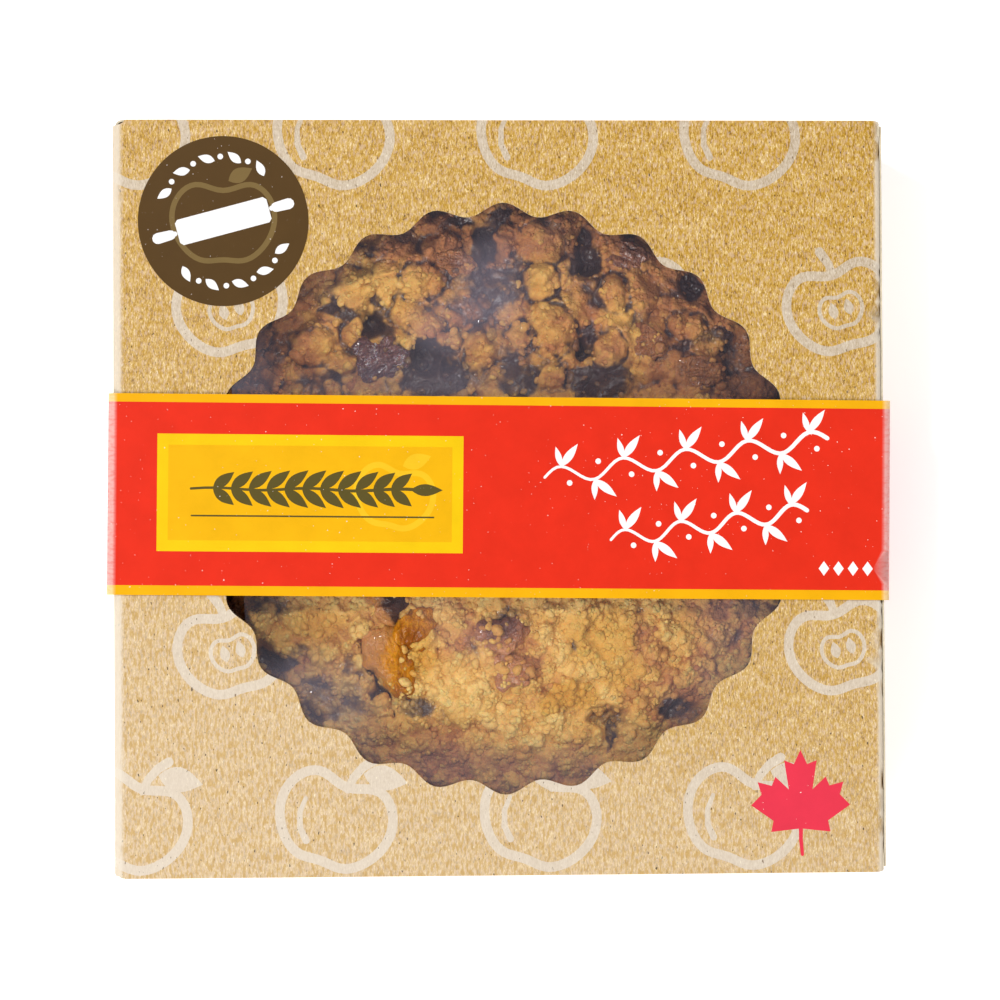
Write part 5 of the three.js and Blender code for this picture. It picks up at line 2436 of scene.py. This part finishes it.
    def build_bed(self, name: str, first: int, last: int) -> None:
        """Makes a stretch of the bed as one closed skin.

        Args:
            name: The piece's name.
            first: The first row of the grid that it takes.
            last: The last one.
        """
        relief, rows = self.relief, slice(first, last + 1)
        top = np.stack([relief.x[rows], relief.y[rows], self.height[rows]], -1)
        numbers = np.arange(top.shape[0] * top.shape[1]).reshape(top.shape[:2])
        toast, soak, butter = (table[rows].ravel() for table in (self.toast, self.soak, self.butter))
        top = top.reshape(-1, 3)
        mesh = Triangles().add(top, grid_faces(*numbers.shape), toast=toast, soak=soak, butter=butter)
        ring = np.concatenate([numbers[0, :-1], numbers[:-1, -1], numbers[-1, :0:-1], numbers[:0:-1, 0]])
        middle, levels = top[ring, :2].mean(axis=0), [top[ring]]
        for part in (1.0, 0.66, 0.33, 0.0):
            flat = middle + (top[ring, :2] - middle) * part
            levels.append(np.column_stack([flat, relief.floor_at(*flat.T) - 0.4]))
        under = np.concatenate(levels)
        faces = with_area(under, grid_faces(len(levels), len(ring), True)[:, ::-1])
        none = np.zeros(len(under))
        mesh.add(under, faces, 0, toast=none + 0.5, soak=none, butter=none)
        keep_piece(mesh.make(name, [CRUMB]), "crumble", "crumble_topping")

    def build_crumbs(self, size: CrumbSize) -> None:
        """Makes all crumbs of one size as one piece.

        Args:
            size: The size.
        """
        relief, draw = self.relief, np.random.default_rng(size.seed)
        shapes, faces = unit_crumbs(self.crumb_kinds, size.detail, size.seed)
        spread = int(size.count * self.tries)
        order = np.arange(spread)
        reach = (relief.radius - 1.5) * np.sqrt((order + 0.5) / spread)
        angle = order * math.pi * (3 - math.sqrt(5))
        x = reach * np.cos(angle) + draw.normal(0, self.scatter, spread)
        y = reach * np.sin(angle) + draw.normal(0, self.scatter, spread)
        soak = relief.read(self.soak, x, y)
        kept = (draw.random(spread) > soak * 0.8) & (np.hypot(x, y) < relief.radius - size.largest)
        kept &= draw.random(spread) > size.thinned * smoothstep(-12.0, 14.0, y)
        kept &= draw.random(spread) < relief.read(relief.dusted, x, y)
        kept &= (np.abs(y) > self.hidden_half) | (draw.random(spread) < self.hidden_share)
        chosen = np.nonzero(kept)[0]
        if len(chosen) > size.count:
            chosen = np.sort(draw.permutation(chosen)[: size.count])
        x, y, soak = x[chosen], y[chosen], soak[chosen]
        count = len(x)
        radius = size.smallest + (size.largest - size.smallest) * draw.random(count) ** 1.8
        z = relief.read(self.height, x, y) - size.sunk * radius
        z = np.maximum(z, relief.read(relief.apple_top, x, y))
        stretch = 0.7 + 0.5 * draw.random((count, 3))
        turns = self.random_turns(draw, count)
        formed = shapes[draw.integers(0, len(shapes), count)] * stretch[:, None, :]
        points = np.einsum("nij,nkj->nki", turns, formed) * radius[:, None, None]
        points += np.stack([x, y, z], -1)[:, None, :]
        toast = relief.read(self.toast, x, y) + draw.normal(-0.03, 0.06, count)
        per = shapes.shape[1]
        numbers = faces[None, :, :] + (np.arange(count) * per)[:, None, None]
        tones = {"toast": toast, "soak": soak * 0.75, "butter": relief.read(self.butter, x, y)}
        spread_tones = {name: np.repeat(tone, per) for name, tone in tones.items()}
        mesh = Triangles().add(points, numbers, **spread_tones)
        keep_piece(mesh.make(size.name, [CRUMB]), "crumble")

    @staticmethod
    def random_turns(draw: np.random.Generator, count: int) -> Array:
        """Random rotations.

        Args:
            draw: The source of random numbers.
            count: How many to make.

        Returns:
            A matrix for each.
        """
        q = draw.normal(size=(count, 4))
        w, x, y, z = (q / np.linalg.norm(q, axis=1, keepdims=True)).T
        rows = [
            [1 - 2 * (y * y + z * z), 2 * (x * y - z * w), 2 * (x * z + y * w)],
            [2 * (x * y + z * w), 1 - 2 * (x * x + z * z), 2 * (y * z - x * w)],
            [2 * (x * z - y * w), 2 * (y * z + x * w), 1 - 2 * (x * x + y * y)],
        ]
        return np.array(rows).transpose(2, 0, 1)

    def build(self) -> None:
        """Makes the bed in two stretches, and every size of crumb."""
        middle, last = len(self.relief.rows) // 2, len(self.relief.rows) - 1
        self.build_bed("golden_crumble_bed", 0, middle)
        self.build_bed("browned_crumble_bed", middle, last)
        for size in self.sizes:
            self.build_crumbs(size)


@dataclass(frozen=True)
class Cooking:
    """How apple is cooked: its finish, and where on the pie it deepens, scorches and pales."""

    finish: GlazedFinish
    depth: float = 0.4
    deeper: tuple[Patch, ...] = ()
    scorch: float = -0.3
    scorched: tuple[Patch, ...] = ()


class AppleLook(Enum):
    """How the pieces of apple are cooked."""

    AMBER = Cooking(
        GlazedFinish(
            "amber_apple", srgb(198, 136, 78), srgb(220, 144, 14), srgb(156, 84, 0), gloss=0.1, coat=0.25,
        ),
        0.15, (Patch(-27, -53, 11, 19, 0.65), Patch(-25, -38, 8, 9, 0.55), Patch(-28, -62, 7, 6, 0.2)),
        -0.35, (Patch(-30, -31, 9, 8, 1.1), Patch(-33, -41, 3, 4, 0.5), Patch(-31, -62, 4, 3, 0.35)),
    )
    ROSY = Cooking(
        GlazedFinish("rosy_apple", srgb(196, 134, 88), srgb(164, 106, 74), srgb(118, 76, 64)),
        0.25, (Patch(1, -39, 8, 6, 0.7),),
    )
    RUSSET = Cooking(
        GlazedFinish(
            "russet_apple", srgb(136, 90, 84), srgb(98, 62, 64), srgb(64, 42, 50),
            coat=1.0, wrinkle=1.6, painted_glints=0.9,
        ),
        0.4, (Patch(-31, 47, 5, 4, -0.3),),
    )
    CARAMEL = Cooking(
        GlazedFinish(
            "caramel_apple", srgb(190, 126, 74), srgb(150, 94, 60), srgb(108, 66, 50), wrinkle=1.2,
        ),
        0.45,
    )
    PLUM = Cooking(
        GlazedFinish(
            "plum_apple", srgb(176, 118, 82), srgb(140, 90, 70), srgb(108, 68, 58), coat=0.8, wrinkle=1.2,
        ),
        0.45,
    )


@dataclass(frozen=True)
class ApplePiece:
    """A piece of apple: how it lies and is cooked, which whole it is cut from, and its form."""

    number: int
    turn: float
    look: AppleLook
    whole: int
    crumbs: float = 0.3
    grown: float = 0.6
    taper: float = 0.0
    flat: float = 0.4
    lumps: float = 1.6
    fibres: float = 0.5

    @property
    def node(self) -> str:
        """The solid that it is made from."""
        return f"apple_piece_{self.number}"

    def build(self, solid: bpy.types.Object) -> bpy.types.Object:
        """Makes the piece: the solid's form, cut flatter, dented and ridged along its fibres.

        Args:
            solid: Its solid.

        Returns:
            The piece.
        """
        form = bmesh.new()
        form.from_mesh(solid.data)
        bmesh.ops.remove_doubles(form, verts=form.verts, dist=1e-6)
        bmesh.ops.subdivide_edges(form, edges=form.edges, cuts=6, use_grid_fill=True)
        for _ in range(3):
            axes = {f"use_axis_{axis}": True for axis in "xyz"}
            bmesh.ops.smooth_vert(form, verts=form.verts, factor=0.5, **axes)
        form.normal_update()
        box = Box.of(self.node)
        middle, half = (box.low + box.high) / 2, (box.high - box.low) / 2
        shift = Vector((self.whole * 3.7, 0, 0))
        lying = Matrix.Rotation(math.radians(self.turn), 3, "Z")
        level = middle.z + half.z * (1 - self.flat)
        cooking = self.look.value
        glaze, char = [], []
        for vertex in form.verts:
            spot = vertex.co / MM
            local = lying.inverted() @ (spot - middle)
            strand = Vector((local.x * 0.2, local.y * 0.75, local.z * 0.75)) + shift
            swell = self.lumps * (noise.noise(spot * 0.19 + shift) + 0.6 * noise.noise(spot * 0.5 - shift))
            ridge = self.fibres * (0.5 - 1.8 * abs(noise.noise(strand)))
            ridge += 0.3 * noise.noise(spot * 0.8 - shift)
            moved = local + lying.inverted() @ vertex.normal * (self.grown + swell - 0.3)
            moved.y *= 1 - self.taper * smoothstep(-0.4, 1.0, local.x / max(half.x, half.y))
            placed_at = middle + lying @ moved
            if placed_at.z > level:
                placed_at.z = level + (placed_at.z - level) * 0.4
            vertex.co = (placed_at + vertex.normal * ridge * 0.8) * MM
            patchy = noise.noise(spot * 0.3 - shift) - 0.6 * ridge
            glaze.append(cooking.depth + sum(p.at(spot.x, spot.y) for p in cooking.deeper) + 0.25 * patchy)
            char.append(cooking.scorch + sum(p.at(spot.x, spot.y) for p in cooking.scorched) + 0.3 * patchy)
        bmesh.ops.triangulate(form, faces=form.faces)
        for face in form.faces:
            face.smooth = True
        mesh = bpy.data.meshes.new(f"glazed_apple_{self.number}")
        form.to_mesh(mesh)
        form.free()
        mesh.attributes.new("glaze", "FLOAT", "POINT").data.foreach_set("value", glaze)
        mesh.attributes.new("char", "FLOAT", "POINT").data.foreach_set("value", char)
        mesh.materials.append(cooking.finish.material())
        return keep_piece(linked(mesh.name, mesh), "glazed_apple", self.node)


APPLES = (
    ApplePiece(1, 15, AppleLook.RUSSET, 1, 0.08, 1.4, 0.1, 0.4, 3.2, 1.2),
    ApplePiece(2, -62, AppleLook.AMBER, 2, 0.0, 2.6, 0.3, 0.5, 2.6, 0.8),
    ApplePiece(3, 70, AppleLook.AMBER, 2, 0.03, 2.2, 0.0, 0.5, 3.0, 0.8),
    ApplePiece(4, 20, AppleLook.AMBER, 2, 0.0, 2.8, 0.0, 0.4, 3.0, 1.0),
    ApplePiece(5, 35, AppleLook.ROSY, 5, 0.55, 2.0, 0.2, 0.5, 3.0, 1.0),
    ApplePiece(6, -20, AppleLook.ROSY, 5, 0.65, 1.6, 0.3, 0.5, 3.0, 1.0),
    ApplePiece(7, 0, AppleLook.CARAMEL, 7, 0.3, lumps=2.6, fibres=1.0),
    ApplePiece(8, -25, AppleLook.PLUM, 8, 0.5, lumps=2.6, fibres=1.0),
    ApplePiece(9, 12, AppleLook.CARAMEL, 9, 0.4, lumps=2.6, fibres=1.0),
    ApplePiece(10, -8, AppleLook.CARAMEL, 10, 0.6, lumps=2.6, fibres=1.0),
)


@dataclass
class Studio:
    """Pale floor, soft light and the camera over the box."""

    camera_place: Place = (-70.5, -23.7, 1264.7)
    camera_turn: Place = (1.106, -3.341, -0.287)
    lens: float = 144.7
    floor_half: float = 3.0
    floor_glow: float = 0.5
    surround: float = 0.3
    softboxes: tuple[tuple[str, Place, float, float], ...] = (
        ("key_softbox", (-1.1, -1.3, 2.0), 1.6, 41.0),
        ("glint_lamp", (-0.8, 0.5, 2.2), 0.14, 17.0),
        ("fill_softbox", (1.2, 1.0, 2.2), 1.8, 15.5),
    )

    def camera(self) -> None:
        """Looks straight down on the lid, a little from the left."""
        data = bpy.data.cameras.new("camera_over_box")
        data.sensor_width = 36.0
        data.lens = self.lens
        data.clip_start = 0.05
        camera = linked("camera_over_box", data)
        tilt, lean, roll = (math.radians(angle) for angle in self.camera_turn)
        turn = Matrix.Rotation(roll, 4, "Z") @ Matrix.Rotation(lean, 4, "Y") @ Matrix.Rotation(tilt, 4, "X")
        camera.matrix_world = Matrix.Translation(Vector(self.camera_place) * MM) @ turn
        bpy.context.scene.camera = camera

    def floor(self) -> None:
        """A plain, nearly white floor."""
        mesh = bpy.data.meshes.new("studio_floor")
        half = self.floor_half
        corners = [(-half, -half, 0), (half, -half, 0), (half, half, 0), (-half, half, 0)]
        mesh.from_pydata(corners, [], [(0, 1, 2, 3)])
        material = bpy.data.materials.new("studio_floor")
        material.use_nodes = True
        shader = material.node_tree.nodes["Principled BSDF"].inputs
        shader["Base Color"].default_value = (0.96, 0.96, 0.96, 1)
        shader["Roughness"].default_value = 0.9
        shader["Specular IOR Level"].default_value = 0.0
        shader["Emission Color"].default_value = (1, 1, 1, 1)
        shader["Emission Strength"].default_value = self.floor_glow
        mesh.materials.append(material)
        floor = linked("studio_floor", mesh)

    def softbox(self, name: str, place: Place, size: float, power: float) -> None:
        """Hangs a square soft light that faces the box.

        Args:
            name: The light's name.
            place: Where it hangs, in metres.
            size: Its width, in metres.
            power: Its power, in watts.
        """
        data = bpy.data.lights.new(name, "AREA")
        data.shape = "SQUARE"
        data.size = size
        data.energy = power
        light = linked(name, data)
        light.location = place
        light.rotation_euler = (-Vector(place)).to_track_quat("-Z", "Y").to_euler()

    def world(self) -> None:
        """An even white surround."""
        world = bpy.data.worlds.new("studio_world")
        world.use_nodes = True
        background = world.node_tree.nodes["Background"]
        background.inputs["Color"].default_value = (1.0, 1.0, 1.0, 1.0)
        background.inputs["Strength"].default_value = self.surround
        bpy.context.scene.world = world

    def build(self) -> None:
        """Sets everything up."""
        self.camera()
        self.floor()
        self.world()
        for softbox in self.softboxes:
            self.softbox(*softbox)
        view = bpy.context.scene.view_settings
        view.view_transform = "Standard"
        view.look = "None"


def corners(box: tuple[Vector, Vector]) -> list[list[float]]:
    """A box as plain lists of numbers."""
    return [list(corner) for corner in box]


def main() -> None:
    """Builds the dressed box and its studio."""
    logging.basicConfig(level=logging.INFO, format="%(name)s %(message)s")
    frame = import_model()
    nodes = frame["nodes"]
    carton = Carton()
    carton.build()
    WindowFilm(carton.lid).build()
    Sleeve().build()
    RoundLabel(carton.lid).build()
    PieTin().build()
    PastryShell().build()
    Filling().build()
    pieces = [(apple.build(nodes[apple.node]), apple.crumbs) for apple in APPLES]
    Crumble(CrumbleRelief(nodes["crumble_topping"], pieces)).build()
    Studio().build()


if __name__ == "__main__":
    main()
